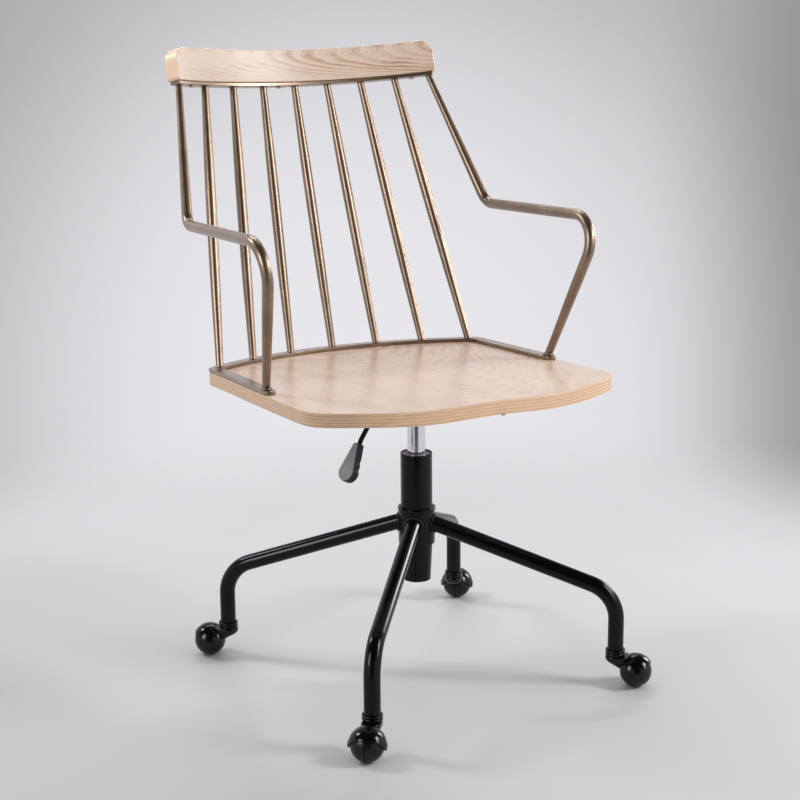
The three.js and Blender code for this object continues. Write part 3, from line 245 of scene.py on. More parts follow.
class BackSizes(bpy.types.PropertyGroup):
    rake: angle("Rake", "Rake of the top strap and rail against the seat", 10.7)
    origin_y: length("Back reach", "Reach of the top strap behind the column, along the seat", 0.4139)
    origin_z: length("Back rise", "Rise of the top strap over the seat", 0.4404)
    arc: length("Arc radius", "Radius that the top strap and rail follow", 0.495)
    half_angle: angle("Half angle", "Half the sweep of the top strap", 28.6)
    strap_in: length("Strap reach in", "Reach of the top strap inside the arc", 0.0102)
    strap_out: length("Strap reach out", "Reach of the top strap outside the arc", 0.0104)
    strap_thickness: length("Strap thickness", "Thickness of the top strap", 0.0055)
    rail_in: length("Rail reach in", "Reach of the rail inside the arc", 0.013)
    rail_out: length("Rail reach out", "Reach of the rail outside the arc", 0.0134)
    rail_height: length("Rail height", "Height of the crest rail", 0.0544)
    rail_past: angle("Rail past strap", "How far the rail runs past the strap", 0.6)
    rail_top_round: length("Rail top round", "Radius of the rail's upper corners", 0.025)
    rail_foot_round: length("Rail foot round", "Radius of the rail's lower corners", 0.006)
    rail_edge: length("Rail edge", "Rounding of the rail's edges", 0.0018)
    spindle_radius: length("Spindle radius", "Largest radius of a spindle", 0.00865)
    spindle_foot_share: amount("Foot step", "Step of the spindles' feet as a share of the arc", 0.324)
    spindle_top_share: amount("Top step", "Step of their tops as a share of the half angle", 0.2423)
    arm_radius: length("Arm radius", "Largest radius of an arm", 0.00875)
    arm_foot_shift: length("Arm foot shift", "Arm foot outside the strap's middle line", 0.0014)
    arm_foot_y: length("Arm foot", "Place of the arm foot along the strap", 0.009)
    arm_inset: angle("Arm inset", "Arm top inside the end of the top strap", 0.9)
    arm_front: bpy.props.FloatVectorProperty(
        name="Arm front corner", description="Front corner of the arm's line in the seat frame",
        default=(0.2812, -0.1002, 0.2336), subtype="TRANSLATION")
    arm_back: bpy.props.FloatVectorProperty(
        name="Arm back corner", description="Back corner of the arm's line in the seat frame",
        default=(0.2722, 0.2391, 0.2359), subtype="TRANSLATION")
    arm_front_bend: length("Front bend", "Bend radius at the arm's front", 0.045)
    arm_back_bend: length("Back bend", "Bend radius at the arm's back", 0.03)
    weld: length("Weld", "Size of the weld beads on the back", 0.0011)
    arm_collar: length("Arm collar", "Width of the weld collar at the arm's foot", 0.0028)
    arm_collar_height: length("Arm collar height", "Height of that collar", 0.0034)
    rail_plies: bpy.props.IntProperty(name="Rail plies", description="Plies in the rail", default=13)


class BaseSizes(bpy.types.PropertyGroup):
    leg_radius: length("Leg radius", "Radius of the leg tubes", 0.0125)
    leg_reach: length("Leg reach", "Distance of a leg's foot from the column's axis", 0.3175)
    inner_reach: length("Inner reach", "Where a leg's line starts in the hub", 0.025)
    inner_height: length("Inner height", "Height of a leg's line at the hub", 0.2495)
    corner_height: length("Corner height", "Height at which a leg's line turns down", 0.1504)
    bend: length("Bend", "Bend radius of a leg", 0.058)
    foot: length("Foot", "Height of a leg tube's lower end", 0.06)
    foot_edge: length("Foot edge", "Rounding of the leg tube's lower end", 0.0006)
    weld: length("Weld", "Radius of the weld beads at the hub", 0.0027)
    weld_beads: bpy.props.IntProperty(name="Weld beads", description="Beads round one leg", default=34)
    hub_lip: length("Hub lip", "How far the hub's upper lip stands out", 0.0012)
    hub_lip_height: length("Hub lip height", "Height of that lip", 0.0045)
    hub_edge: length("Hub edge", "Rounding of the hub's edges", 0.0009)
    collar_radius: length("Collar radius", "Radius of the collar's two beads", 0.0156)
    collar_waist: length("Collar waist", "Radius between the beads", 0.0139)
    collar_bottom: length("Collar bottom", "Height of the collar's lower face", 0.05)


class ColumnSizes(bpy.types.PropertyGroup):
    wall: length("Wall", "Wall of the outer tube", 0.002)
    taper: length("Taper", "How much narrower the tube is at its foot", 0.00305)
    taper_top: length("Taper top", "Height at which the tube's taper starts", 0.216)
    floor: length("Floor", "Thickness of the tube's floor", 0.003)
    groove_below: length("Groove below top", "Groove's upper edge below the tube's rim", 0.005)
    groove_width: length("Groove width", "Width of the groove", 0.0016)
    groove_depth: length("Groove depth", "Depth of the groove", 0.0006)
    rim: length("Rim rounding", "Rounding of the tube's rim", 0.0007)
    slide: length("Slide gap", "Clearance between piston and bush", 0.00006)
    chamfer: length("Bush chamfer", "Chamfer of the bush round the piston", 0.00054)
    well: length("Button well", "Radius of the well for the release button", 0.0043)
    well_depth: length("Well depth", "Depth of that well", 0.012)
    dimple: length("Dimple", "Radius of the pressed mark near the rim", 0.0026)
    dimple_height: length("Dimple height", "Height of that mark", 0.348)
    dimple_turn: angle("Dimple turn", "Direction of that mark from the column's axis", -75)


class CastorSizes(bpy.types.PropertyGroup):
    ball: length("Ball radius", "Radius of the castor's ball", 0.025)
    offset: length("Offset", "Ball's centre outside the leg's axis", 0.0324)
    seam: length("Seam", "Half the gap between the two halves", 0.0003)
    seam_edge: length("Seam edge", "Rounding at the seam", 0.0006)
    pole: length("Pole", "Half width of the ball over its flat poles", 0.0242)
    bore: length("Bore", "Radius of the ball's bore", 0.0023)
    hood: length("Hood radius", "Outer radius of the hood", 0.0282)
    hood_wall: length("Hood wall", "Wall of the hood", 0.0021)
    hood_edge: length("Hood edge", "Rounding of the hood's lip", 0.0005)
    boss: length("Boss radius", "Radius of the boss at the axle", 0.0054)
    boss_from: length("Boss inside", "Inner face of the boss from the middle", 0.0264)
    boss_to: length("Boss outside", "Outer face of the boss from the middle", 0.0286)
    boss_edge: length("Boss edge", "Rounding of the boss", 0.0007)
    neck_front: length("Neck front", "Where the neck runs into the hood", 0.024)
    neck_sink: length("Neck sink", "Radius at which the neck ends in the hood's wall", 0.0271)


class LeverSizes(bpy.types.PropertyGroup):
    azimuth: angle("Azimuth", "Direction in which the lever leaves the column", 192)
    rod: length("Rod radius", "Radius of the rod", 0.00375)
    rod_height: length("Rod height", "Height of the rod's straight part", 0.44825)
    tip: length("Tip", "How far the rod passes the column's axis", 0.001)
    knee: length("Knee reach", "Where the rod turns down", 0.0753)
    grip_reach: length("Grip reach", "Where the handle starts", 0.113)
    grip_drop: length("Grip drop", "Handle's top below the straight rod", 0.05245)
    knee_bend: length("Knee bend", "Bend radius at the knee", 0.016)
    neck_bend: length("Neck bend", "Bend radius above the handle", 0.014)
    embed: length("Embed", "How far the rod runs into the handle", 0.018)
    tilt: angle("Tilt", "Tilt of the handle from upright", 26.6)
    thickness: length("Handle thickness", "Thickness of the handle", 0.0114)
    top_half: length("Top half width", "Half the handle's width at its top", 0.0052)
    wide_half: length("Wide half width", "Half the handle's width where it is widest", 0.0166)
    wide_at: length("Widest at", "Distance from the top to the widest place", 0.045)
    reach: length("Handle length", "Length of the handle", 0.0615)
    notch: length("Notch depth", "Depth of the two finger notches", 0.0016)
    notches_from: length("Notches from", "Where the notches start", 0.022)
    notches_to: length("Notches to", "Where the notches end", 0.044)
    handle_edge: length("Handle edge", "Rounding of the handle", 0.0012)
    cap: length("Cap thickness", "Thickness of the face cap", 0.0022)
    cap_inset: length("Cap inset", "Border left round the face cap", 0.0011)
    cap_edge: length("Cap edge", "Rounding of the face cap", 0.0006)


class Finishes(bpy.types.PropertyGroup):
    veneer: colour("Seat veneer", "Pale face veneer of the seat", (0.78, 0.61, 0.49))
    # The seat grain's colour also tints the painted shade towards the strap
    veneer_dark: colour("Seat grain", "Darker grain of the seat", (0.45, 0.22, 0.13))
    rail: colour("Rail veneer", "Face veneer of the crest rail", (0.65, 0.525, 0.43))
    rail_dark: colour("Rail grain", "Cathedral grain of the crest rail", (0.4, 0.2, 0.115))
    ply: colour("Ply", "Lighter plies at the edges", (0.96, 0.66, 0.43))
    ply_dark: colour("Ply, dark", "Darker plies at the edges", (0.46, 0.24, 0.13))
    bronze: colour("Bronze", "Antique bronze of the back", (0.205, 0.138, 0.088))
    bronze_light: colour("Bronze, worn", "Rubbed places of the bronze", (0.305, 0.213, 0.14))
    enamel: colour("Enamel", "Black enamel of the base", (0.0016, 0.0016, 0.0019))
    castor_shell: colour("Castor shell", "Black plastic of the hoods", (0.0016, 0.0016, 0.0019))
    castor_ball: colour("Castor ball", "Black plastic of the balls", (0.003, 0.003, 0.0032))
    chrome: colour("Piston", "Polished steel of the piston", (0.72, 0.73, 0.76))
    bush: colour("Bush", "Grey plastic of the guide bush", (0.42, 0.42, 0.43))
    steel: colour("Steel", "Plated steel of screws, stems and axles", (0.42, 0.38, 0.33))
    mechanism: colour("Mechanism", "Black paint under the seat", (0.015, 0.015, 0.017))
    grip: colour("Handle", "Black plastic of the lever's handle", (0.012, 0.012, 0.014))
    grip_face: colour("Face cap", "Grey face cap of the handle", (0.2, 0.2, 0.215))
    seat_roughness: amount("Seat roughness", "Roughness of the seat's lacquer", 0.24)
    rail_roughness: amount("Rail roughness", "Roughness of the rail's lacquer", 0.36)
    bronze_roughness: amount("Bronze roughness", "Roughness of the bronze", 0.32)
    enamel_roughness: amount("Enamel roughness", "Roughness of the black enamel", 0.12)
    chrome_roughness: amount("Piston roughness", "Roughness of the polished steel", 0.09)


class StageSettings(bpy.types.PropertyGroup):
    azimuth: angle("Azimuth", "Direction of the view", -27.608)
    elevation: angle("Elevation", "Height of the view above the horizon", 13.561)
    roll: angle("Roll", "Roll of the camera", -0.467)
    distance: length("Distance", "Distance of the camera from its target", 2.7277)
    target_side: length("Target shift", "Target to the right of the column", -0.0248)
    target_height: length("Target height", "Height of the target", 0.447)
    lens: amount("Lens", "Focal length in millimetres", 78.9)
    sensor: amount("Sensor", "Sensor width in millimetres", 36)
    floor: colour("Floor", "Colour of the floor", (0.69, 0.685, 0.715))
    floor_radius: length("Floor radius", "Radius of the floor", 2.0)
    fade_from: length("Fade from", "Radius at which the floor starts to fade", 0.85)
    fade_to: length("Fade to", "Radius at which the floor has faded", 1.7)
    backdrop: colour("Backdrop", "Brightest colour behind the chair", (0.8, 0.795, 0.83))
    backdrop_far: colour("Backdrop, far", "Colour away from the bright place", (0.48, 0.475, 0.495))
    dark_room: colour("Dark room", "What metal mirrors away from the backdrop", (0.02, 0.02, 0.022))
    world_light: amount("World light", "Strength of the light from all round", 0.6)
    key: amount("Key lamp", "Power of the lamp behind at the left in watts", 28)
    fill: amount("Fill lamp", "Power of the lamp in front at the right in watts", 46)
    top: amount("Top lamp", "Power of the lamp overhead in watts", 20)
    left_glint: amount("Left glint", "Power of the lamp for the left streak on metal in watts", 30)
    right_glint: amount("Right glint", "Power of the lamp for the right streak on metal in watts", 24)
    front_glint: amount("Front glint", "Power of the lamp for the front streak on metal in watts", 11)


def seat_place():
    """Matrix of the seat frame: raked about the column's top."""
    seat = bpy.context.scene.chair_seat
    return Matrix.Translation((0, 0, seat.height)) @ Matrix.Rotation(-seat.rake, 4, "X")


def back_in_seat():
    """Matrix of the back frame inside the seat frame."""
    back = bpy.context.scene.chair_back
    return Matrix.Translation((0, back.origin_y, back.origin_z)) @ Matrix.Rotation(-back.rake, 4, "X")


def top_of_strap():
    """Height of the lower strap's upper face in the seat frame."""
    return TOUCH_GAP + bpy.context.scene.chair_seat.strap_thickness


def bottom_of_rail(back):
    """Height of the crest rail's lower face in the back frame."""
    return 2 * TOUCH_GAP + back.strap_thickness


def about_column(degrees):
    """Matrix of a turn about the column."""
    return Matrix.Rotation(math.radians(degrees), 4, "Z")


def on_arc(radius, turn, centre_y, height=0.0):
    """Point on an arc in plan, turned from the middle of the back."""
    return Vector((radius * math.sin(turn), centre_y + radius * math.cos(turn), height))


# Mesh helpers


def smooth_value(table, share):
    """Reads a table of (share, value) pairs with a smooth curve through them."""
    last = len(table) - 1
    spot = min(max(share, table[0][0]), table[last][0])
    i = next(k for k in range(last) if spot <= table[k + 1][0])

    def slope(k):
        low, high = max(k - 1, 0), min(k + 1, last)
        return (table[high][1] - table[low][1]) / (table[high][0] - table[low][0])

    span = table[i + 1][0] - table[i][0]
    t = (spot - table[i][0]) / span
    from_here = (1 + 2 * t) * (1 - t) ** 2 * table[i][1] + t * (1 - t) ** 2 * span * slope(i)
    to_next = t * t * (3 - 2 * t) * table[i + 1][1] + t * t * (t - 1) * span * slope(i + 1)
    return from_here + to_next


def bent_line(corners, bends):
    """Centre line through corners, each inner corner rounded by its bend radius."""
    line = [corners[0]]
    for before, corner, after, bend in zip(corners, corners[1:], corners[2:], bends):
        towards = (corner - before).normalized()
        away = (after - corner).normalized()
        turn = towards.angle(away)
        start = corner - towards * (bend * math.tan(turn / 2))
        inward = (away - towards * towards.dot(away)).normalized()
        centre = start + inward * bend
        for k in range(BEND_STEPS + 1):
            share = turn * k / BEND_STEPS
            line.append(centre - inward * (bend * math.cos(share)) + towards * (bend * math.sin(share)))
    line.append(corners[-1])
    stations = [line[0]]
    for here, there in zip(line, line[1:]):
        parts = max(1, math.ceil((there - here).length / STATION_STEP))
        stations += [here.lerp(there, k / parts) for k in range(1, parts + 1)]
    return stations


def only_verts(items):
    """The vertices among what a bmesh operator gives back."""
    return [item for item in items if isinstance(item, bmesh.types.BMVert)]


def edges_between(verts):
    """The edges with both ends among some vertices, in a settled order."""
    ends = set(verts)
    found = dict.fromkeys(edge for vert in verts for edge in vert.link_edges)
    return [edge for edge in found if ends.issuperset(edge.verts)]


def bar(line, radius_at, sides=TUBE_SIDES):
    """Round bar along a line: one ring, extruded from station to station and closed at both ends."""
    runs = [0.0]
    for here, there in zip(line, line[1:]):
        runs.append(runs[-1] + (there - here).length)
    shell = bmesh.new()
    along = (line[1] - line[0]).normalized()
    turned = along.to_track_quat("Z", "Y")
    place = Matrix.LocRotScale(line[0], turned, Vector.Fill(3, radius_at(0.0)))
    ring = bmesh.ops.create_circle(shell, segments=sides, radius=1, matrix=place)["verts"]
    edges = edges_between(ring)
    bmesh.ops.contextual_create(shell, geom=edges)
    for i in range(1, len(line)):
        ahead = (line[min(i + 1, len(line) - 1)] - line[i]).normalized()
        behind = (line[i] - line[i - 1]).normalized()
        direction = (ahead + behind).normalized() if ahead.length > 0 else behind
        turned = along.rotation_difference(direction) @ turned
        along = direction
        next_place = Matrix.LocRotScale(line[i], turned, Vector.Fill(3, radius_at(runs[i] / runs[-1])))
        verts = only_verts(bmesh.ops.extrude_edge_only(shell, edges=edges)["geom"])
        bmesh.ops.transform(shell, matrix=next_place @ place.inverted(), verts=verts)
        edges = edges_between(verts)
        place = next_place
    bmesh.ops.contextual_create(shell, geom=edges)
    return shell


def turned(profile, steps=TURNED_STEPS):
    """Body turned about Z from (radius, height) pairs that start and end on the axis or close."""
    shell = bmesh.new()
    verts = [shell.verts.new((radius, 0, height)) for radius, height in profile]
    edges = [shell.edges.new(pair) for pair in zip(verts, verts[1:])]
    bmesh.ops.spin(
        shell, geom=verts + edges, cent=(0, 0, 0), axis=UP, angle=TURN, steps=steps,
        use_merge=True, use_duplicate=False)
    bmesh.ops.remove_doubles(shell, verts=shell.verts, dist=MERGE_GAP)
    bmesh.ops.recalc_face_normals(shell, faces=shell.faces)
    return shell


def plate(outline, bottom, top):
    """Plate between two heights: one face of the outline, extruded."""
    shell = bmesh.new()
    face = shell.faces.new([shell.verts.new((x, y, bottom)) for x, y in outline])
    verts = only_verts(bmesh.ops.extrude_face_region(shell, geom=[face])["geom"])
    bmesh.ops.translate(shell, vec=(0, 0, top - bottom), verts=verts)
    bmesh.ops.recalc_face_normals(shell, faces=shell.faces)
    return shell


def soften(shell, width, steps=EDGE_STEPS, over=SHARP_ANGLE):
    """Rounds every edge that is sharper than an angle."""
    edges = [edge for edge in shell.edges if edge.is_manifold and edge.calc_face_angle() > over]
    bmesh.ops.bevel(
        shell, geom=edges, offset=width, offset_type="OFFSET", segments=steps, profile=0.5,
        affect="EDGES", clamp_overlap=True, material=-1)
    return shell


def divide(shell, point, normal, clear=False):
    """Divides the faces along a plane; clear takes away what lies beyond it."""
    return bmesh.ops.bisect_plane(
        shell, geom=shell.verts[:] + shell.edges[:] + shell.faces[:], dist=MERGE_GAP,
        plane_co=point, plane_no=normal, clear_outer=clear)["geom_cut"]


def cut_off(shell, point, normal):
    """Cuts away what lies beyond a plane and closes the cut."""
    made = divide(shell, point, normal, clear=True)
    edges = [item for item in made if isinstance(item, bmesh.types.BMEdge)]
    bmesh.ops.contextual_create(shell, geom=edges)


def placed(shell, matrix):
    """Moves a shell by a matrix."""
    bmesh.ops.transform(shell, matrix=matrix, verts=shell.verts)
    return shell


def gathered(shells):
    """Puts several shells into one mesh."""
    whole = shells[0]
    for shell in shells[1:]:
        carrier = bpy.data.meshes.new("carrier")
        shell.to_mesh(carrier)
        shell.free()
        whole.from_mesh(carrier)
        bpy.data.meshes.remove(carrier)
    return whole


def finish_piece(name, shells, place, slot, body, node):
    """Makes one piece of the shells at a place, with its finish, its body and the node it replaces."""
    whole = gathered([placed(shell, place) for shell in shells])
    bmesh.ops.recalc_face_normals(whole, faces=whole.faces)
    for face in whole.faces:
        face.smooth = True
    for edge in whole.edges:
        edge.smooth = not edge.is_manifold or edge.calc_face_angle() < SHARP_ANGLE
    mesh = bpy.data.meshes.new(name)
    whole.to_mesh(mesh)
    whole.free()
    mesh.materials.append(look(slot))
    piece = bpy.data.objects.new(name, mesh)
    bpy.context.scene.collection.objects.link(piece)
    piece.modifiers.new("even_shading", "WEIGHTED_NORMAL").keep_sharp = True
    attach(piece, body)
    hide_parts(node)


def dress_node(name, slot):
    """Gives a shown CAD node its finish."""
    node = frame["nodes"][name]
    node.data.materials.clear()
    node.data.materials.append(look(slot))


def weld_beads(points, radius):
    """Row of overlapping drops, as a weld leaves them."""
    drops = []
    for point in points:
        drop = bmesh.new()
        bmesh.ops.create_uvsphere(
            drop, u_segments=DROP_SEGMENTS, v_segments=DROP_RINGS, radius=radius,
            matrix=Matrix.Translation(point))
        drops.append(drop)
    return gathered(drops)


def fillet_ring(radius, weld, shares):
    """Small ring of weld that runs up from a strap onto a bar."""
    width, height = weld * shares[0], weld * shares[1]
    turns = [k * QUARTER / FILLET_STEPS for k in range(FILLET_STEPS + 1)]
    curve = [(radius + width * (1 - math.sin(turn)), height * (1 - math.cos(turn))) for turn in turns]
    return turned([(0, 0), *curve, (0, height)], TUBE_SIDES)


# Shader helpers


class Wire:
    """A socket with arithmetic: each expression on it adds its Math node."""

    def __init__(self, finish, socket):
        self.finish = finish
        self.socket = socket

    def math(self, operation, other=None, flipped=False):
        """The socket through a Math node, with another wire or number where the operation takes two."""
        first, second = (other, self) if flipped else (self, other)
        values = {0: first} if other is None else {0: first, 1: second}
        return self.finish.wire("ShaderNodeMath", {"operation": operation}, values)

    def __add__(self, other):
        return self.math("ADD", other)

    def __sub__(self, other):
        return self.math("SUBTRACT", other)

    def __rsub__(self, other):
        return self.math("SUBTRACT", other, flipped=True)

    def __mul__(self, other):
        return self.math("MULTIPLY", other)

    def __truediv__(self, other):
        return self.math("DIVIDE", other)

    def __rtruediv__(self, other):
        return self.math("DIVIDE", other, flipped=True)

    def __abs__(self):
        return self.math("ABSOLUTE")

    __radd__ = __add__
    __rmul__ = __mul__


class Finish:
    """One material or world and its nodes."""

    def __init__(self, owner):
        owner.use_nodes = True
        self.tree = owner.node_tree
        self.tree.nodes.clear()

    def node(self, kind, settings=None, values=None):
        """Adds a node: settings first, then its sockets' values or links."""
        made = self.tree.nodes.new(kind)
        for key, value in (settings or {}).items():
            setattr(made, key, value)
        for key, value in (values or {}).items():
            if isinstance(value, Wire):
                self.tree.links.new(value.socket, made.inputs[key])
            else:
                made.inputs[key].default_value = value
        return made

    def wire(self, kind, settings=None, values=None, output=0):
        """Adds a node and gives one of its outputs."""
        return Wire(self, self.node(kind, settings, values).outputs[output])

    def place(self):
        """Object coordinates."""
        return self.wire("ShaderNodeTexCoord", output="Object")

    def place_in(self, frame_place):
        """Coordinates in a frame of their own."""
        location, turn, _scale = frame_place.decompose()
        return self.wire("ShaderNodeMapping", {"vector_type": "TEXTURE"}, {
            "Vector": self.place(), "Location": location, "Rotation": turn.to_euler()})

    def parts(self, vector):
        """The three numbers of a vector."""
        split = self.node("ShaderNodeSeparateXYZ", values={"Vector": vector})
        return [Wire(self, socket) for socket in split.outputs]

    def joined(self, x, y, z=0.0):
        """A vector of three numbers."""
        return self.wire("ShaderNodeCombineXYZ", values={0: x, 1: y, 2: z})

    def measure(self, operation, first, second=(0, 0, 0)):
        """The number that an operation on two vectors gives."""
        values = {0: first, 1: second}
        return self.wire("ShaderNodeVectorMath", {"operation": operation}, values, "Value")

    def noise(self, vector, scale, detail=2.0, roughness=0.5):
        """Clouds of noise from 0 to 1; three scales stretch them along the axes."""
        if isinstance(scale, tuple):
            vector = self.wire("ShaderNodeMapping", values={"Vector": vector, "Scale": scale})
            scale = 1.0
        return self.wire("ShaderNodeTexNoise", values={
            "Vector": vector, "Scale": scale, "Detail": detail, "Roughness": roughness}, output="Fac")

    def ramp(self, value, low, high):
        """Smooth step of a value from 0 at low to 1 at high."""
        return self.wire("ShaderNodeMapRange", {"interpolation_type": "SMOOTHSTEP"}, {
            "Value": value, "From Min": low, "From Max": high})

    def mix(self, factor, first, second):
        """Colour between two colours."""
        shades = [shade if isinstance(shade, Wire) else (*shade, 1) for shade in (first, second)]
        values = {0: factor, 6: shades[0], 7: shades[1]}
        return self.wire("ShaderNodeMix", {"data_type": "RGBA"}, values, 2)

    def bump(self, height, distance, strength):
        """Normal from a height in metres."""
        return self.wire("ShaderNodeBump", values={
            "Height": height, "Distance": distance, "Strength": strength})

    def surface(self, **values):
        """Principled surface; names are its sockets with spaces for underscores."""
        named = {key.replace("_", " "): value for key, value in values.items()}
        shader = self.wire("ShaderNodeBsdfPrincipled", values=named)
        self.node("ShaderNodeOutputMaterial", values={"Surface": shader})


def material(name):
    """A new material and its nodes."""
    made = bpy.data.materials.new(name)
    return made, Finish(made)


def veneer_pattern(finish, along, across, lines, contrast, pale, dark):
    """Ash veneer: nested growth lines, fine pores along the grain and slow changes of tone.

    along and across are wires in metres; lines is a wire that counts the growth lines; contrast is
    how dark these are.
    """
    within = lines.math("FRACT")
    ring = finish.ramp(within, 0.2, 0.8) - finish.ramp(within, 0.84, 1.0)
    finer = finish.ramp((lines * 4).math("FRACT"), 0.3, 1.0)
    place = finish.joined(along, across)
    pores = finish.ramp(finish.noise(place, CELLS["pores"], 2.0, 0.6), 0.5, 0.7)
    fibre = finish.noise(place, CELLS["fibre"], 3.0, 0.6)
    flame = finish.noise(place, CELLS["flame"], 3.0)
    strength = 0.2 + finish.ramp(flame, 0.36, 0.64) * 0.8
    growth = ring * strength * (0.4 + pores * 0.4) + finer * 0.12
    tone = growth * contrast + pores * 0.14 + (fibre - 0.5) * 0.45 + (flame - 0.5) * 0.3
    return finish.mix(tone, pale, dark), pores


def ply_lines(finish, depth, plies, thickness, grain, pale, dark):
    """Edge of plywood: glue lines and plies that change from long grain to end grain."""
    layer = depth * (plies / thickness)
    glue = 1 - finish.ramp(abs(layer.math("FRACT") - 0.5), 0.5, 0.34)
    other = finish.ramp(abs((layer * 0.5).math("FRACT") - 0.5), 0.2, 0.3)
    tone = other * 0.3 + glue * 0.6 + (grain - 0.5) * 1.3
    return finish.mix(tone, pale, dark), glue


def seat_wood(finish, tones):
    """Veneered plywood of the board, in the seat's own frame, with painted shade towards the strap."""
    seat = bpy.context.scene.chair_seat
    local = finish.place_in(seat_place())
    x, y, z = finish.parts(local)
    wander = finish.noise(local, CELLS["seat_wander"]) - 0.5
    pitch, arch, wandering = SEAT_LINES
    away = x + wander * 0.05 - SEAT_HEART
    lines = (y * -1 + away * away * arch + wander * wandering) / pitch
    # Painted shade: towards the strap the veneer turns darker and its grain stronger, standing in for
    # the sheen that the board lacks there and the dark rods that it mirrors
    painted_strap_shade = finish.ramp(y, 0.0, 0.26)
    contrast = 0.5 + painted_strap_shade * 0.55
    pale = finish.mix(painted_strap_shade * 0.3, tones.veneer, tones.veneer_dark)
    face, pores = veneer_pattern(finish, y, x + wander * 0.02, lines, contrast, pale, tones.veneer_dark)
    grain = finish.noise(local, CELLS["seat_plies"], 3.0, 0.65)
    fade = finish.ramp(y, seat.wave_back, seat.wave_front)
    depth = z - (x * (math.pi / seat.wave_pitch)).math("COSINE") * fade * seat.wave
    edge, glue = ply_lines(finish, depth, seat.plies, seat.thickness, grain, tones.ply, tones.ply_dark)
    outward = finish.wire("ShaderNodeTexCoord", output="Normal")
    flat = finish.measure("DOT_PRODUCT", outward, seat_place().to_3x3() @ UP)
    on_edge = finish.ramp(abs(flat), 0.85, 0.4)
    swell = finish.noise(local, CELLS["swell"], 1.0)
    height = swell * 1.1 + pores * -0.012 + glue * on_edge * -0.03
    finish.surface(
        Base_Color=finish.mix(on_edge, face, edge),
        Roughness=tones.seat_roughness + pores * 0.06 + on_edge * 0.1,
        Normal=finish.bump(height, 0.001, 0.35))


def rail_wood(finish, tones):
    """Veneered bent plywood of the crest rail, measured along and across its arc."""
    back = bpy.context.scene.chair_back
    x, y, z = finish.parts(finish.place_in(seat_place() @ back_in_seat()))
    deep = y + back.arc
    radius = (x * x + deep * deep).math("SQRT")
    along = x.math("ARCTAN2", deep) * back.arc
    wander = finish.noise(finish.joined(along, z), CELLS["rail_wander"]) - 0.5
    pitch, arch, wandering = RAIL_LINES
    away = z - bottom_of_rail(back) - back.rail_height * RAIL_HEART + wander * 0.008
    lines = (along - away * away * arch + wander * wandering) / pitch
    contrast = 1.4 + along * 4.5
    face, pores = veneer_pattern(
        finish, along, z + wander * 0.01, lines, contrast, tones.rail, tones.rail_dark)
    depth = radius - (back.arc - back.rail_in)
    whole = back.rail_in + back.rail_out
    grain = finish.noise(finish.joined(along, depth, z), CELLS["rail_plies"], 3.0, 0.65)
    edge, glue = ply_lines(finish, depth, back.rail_plies, whole, grain, tones.ply, tones.ply_dark)
    start, full = [whole / 2 - distance for distance in RAIL_EDGE_BAND]
    on_edge = finish.ramp(abs(depth - whole / 2), start, full)
    pale_edge = finish.mix(0.45, edge, tones.rail)
    height = pores * -0.3 + glue * on_edge * -0.3
    finish.surface(
        Base_Color=finish.mix(on_edge, face, pale_edge),
        Roughness=tones.rail_roughness + pores * 0.1,
        Normal=finish.bump(height, 0.0001, 0.3))


def bronze(finish, tones):
    """Antique bronze: dark lacquered metal with rubbed, lighter places and fine brush marks."""
    place = finish.place()
    clouds = finish.noise(place, CELLS["rubbed"], 3.0, 0.6)
    brush = finish.noise(place, CELLS["brush"])
    worn = finish.ramp(clouds, 0.4, 0.72) * 0.6 + (brush - 0.5) * 0.16
    finish.surface(
        Base_Color=finish.mix(worn, tones.bronze, tones.bronze_light),
        Metallic=0.9,
        Roughness=tones.bronze_roughness + clouds * 0.08,
        Coat_Weight=0.8,
        Coat_Roughness=0.26,
        Normal=finish.bump(clouds, 0.0001, 0.1))


def coated(finish, shade, roughness, grain, depth, metallic):
    """Painted, moulded or plated surface: faint mottling, fine grain and its own gloss."""
    place = finish.place()
    cloud = finish.noise(place, CELLS["mottle"], 3.0)
    fine = finish.noise(place, grain)
    lighter = [min(1.0, value * 1.5 + 0.004) for value in shade]
    finish.surface(
        Base_Color=finish.mix(finish.ramp(cloud, 0.35, 0.8) * 0.5, shade, lighter),
        Roughness=roughness + (cloud - 0.5) * 0.1 + (fine - 0.5) * 0.05,
        Specular_IOR_Level=0.3,
        Metallic=metallic,
        Normal=finish.bump(fine, depth, 0.3))


def enamel(finish, tones):
    """Gloss black enamel with slight orange peel and a pressed mark near the column's rim."""
    column = bpy.context.scene.chair_column
    place = finish.place()
    cloud = finish.noise(place, CELLS["gloss"], 3.0)
    peel = finish.noise(place, CELLS["peel"])
    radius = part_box("column_tube")[1].x
    turn = column.dimple_turn
    spot = (radius * math.cos(turn), radius * math.sin(turn), column.dimple_height)
    dent = finish.ramp(finish.measure("DISTANCE", place, spot), column.dimple * 0.5, column.dimple)
    finish.surface(
        Base_Color=finish.mix(cloud * 0.6, tones.enamel, [value * 2.2 for value in tones.enamel]),
        Roughness=tones.enamel_roughness + cloud * 0.06,
        Specular_IOR_Level=0.2,
        Normal=finish.bump(peel * 0.008 + dent, 0.0012, 0.5))


def polished(finish, tones):
    """Ground and polished steel with faint drawn lines round the piston."""
    place = finish.place()
    drawn = finish.noise(place, CELLS["drawn"])
    film = finish.noise(place, CELLS["film"], 3.0)
    finish.surface(
        Base_Color=finish.mix(film * 0.4, tones.chrome, [value * 0.85 for value in tones.chrome]),
        Metallic=1.0,
        Roughness=tones.chrome_roughness + drawn * 0.05 + film * 0.05,
        Normal=finish.bump(drawn, 0.00001, 0.15))


LOOKS = {}
MAKERS = {
    "seat_wood": seat_wood,
    "rail_wood": rail_wood,
    "bronze": bronze,
    "enamel": enamel,
    "chrome": polished,
}


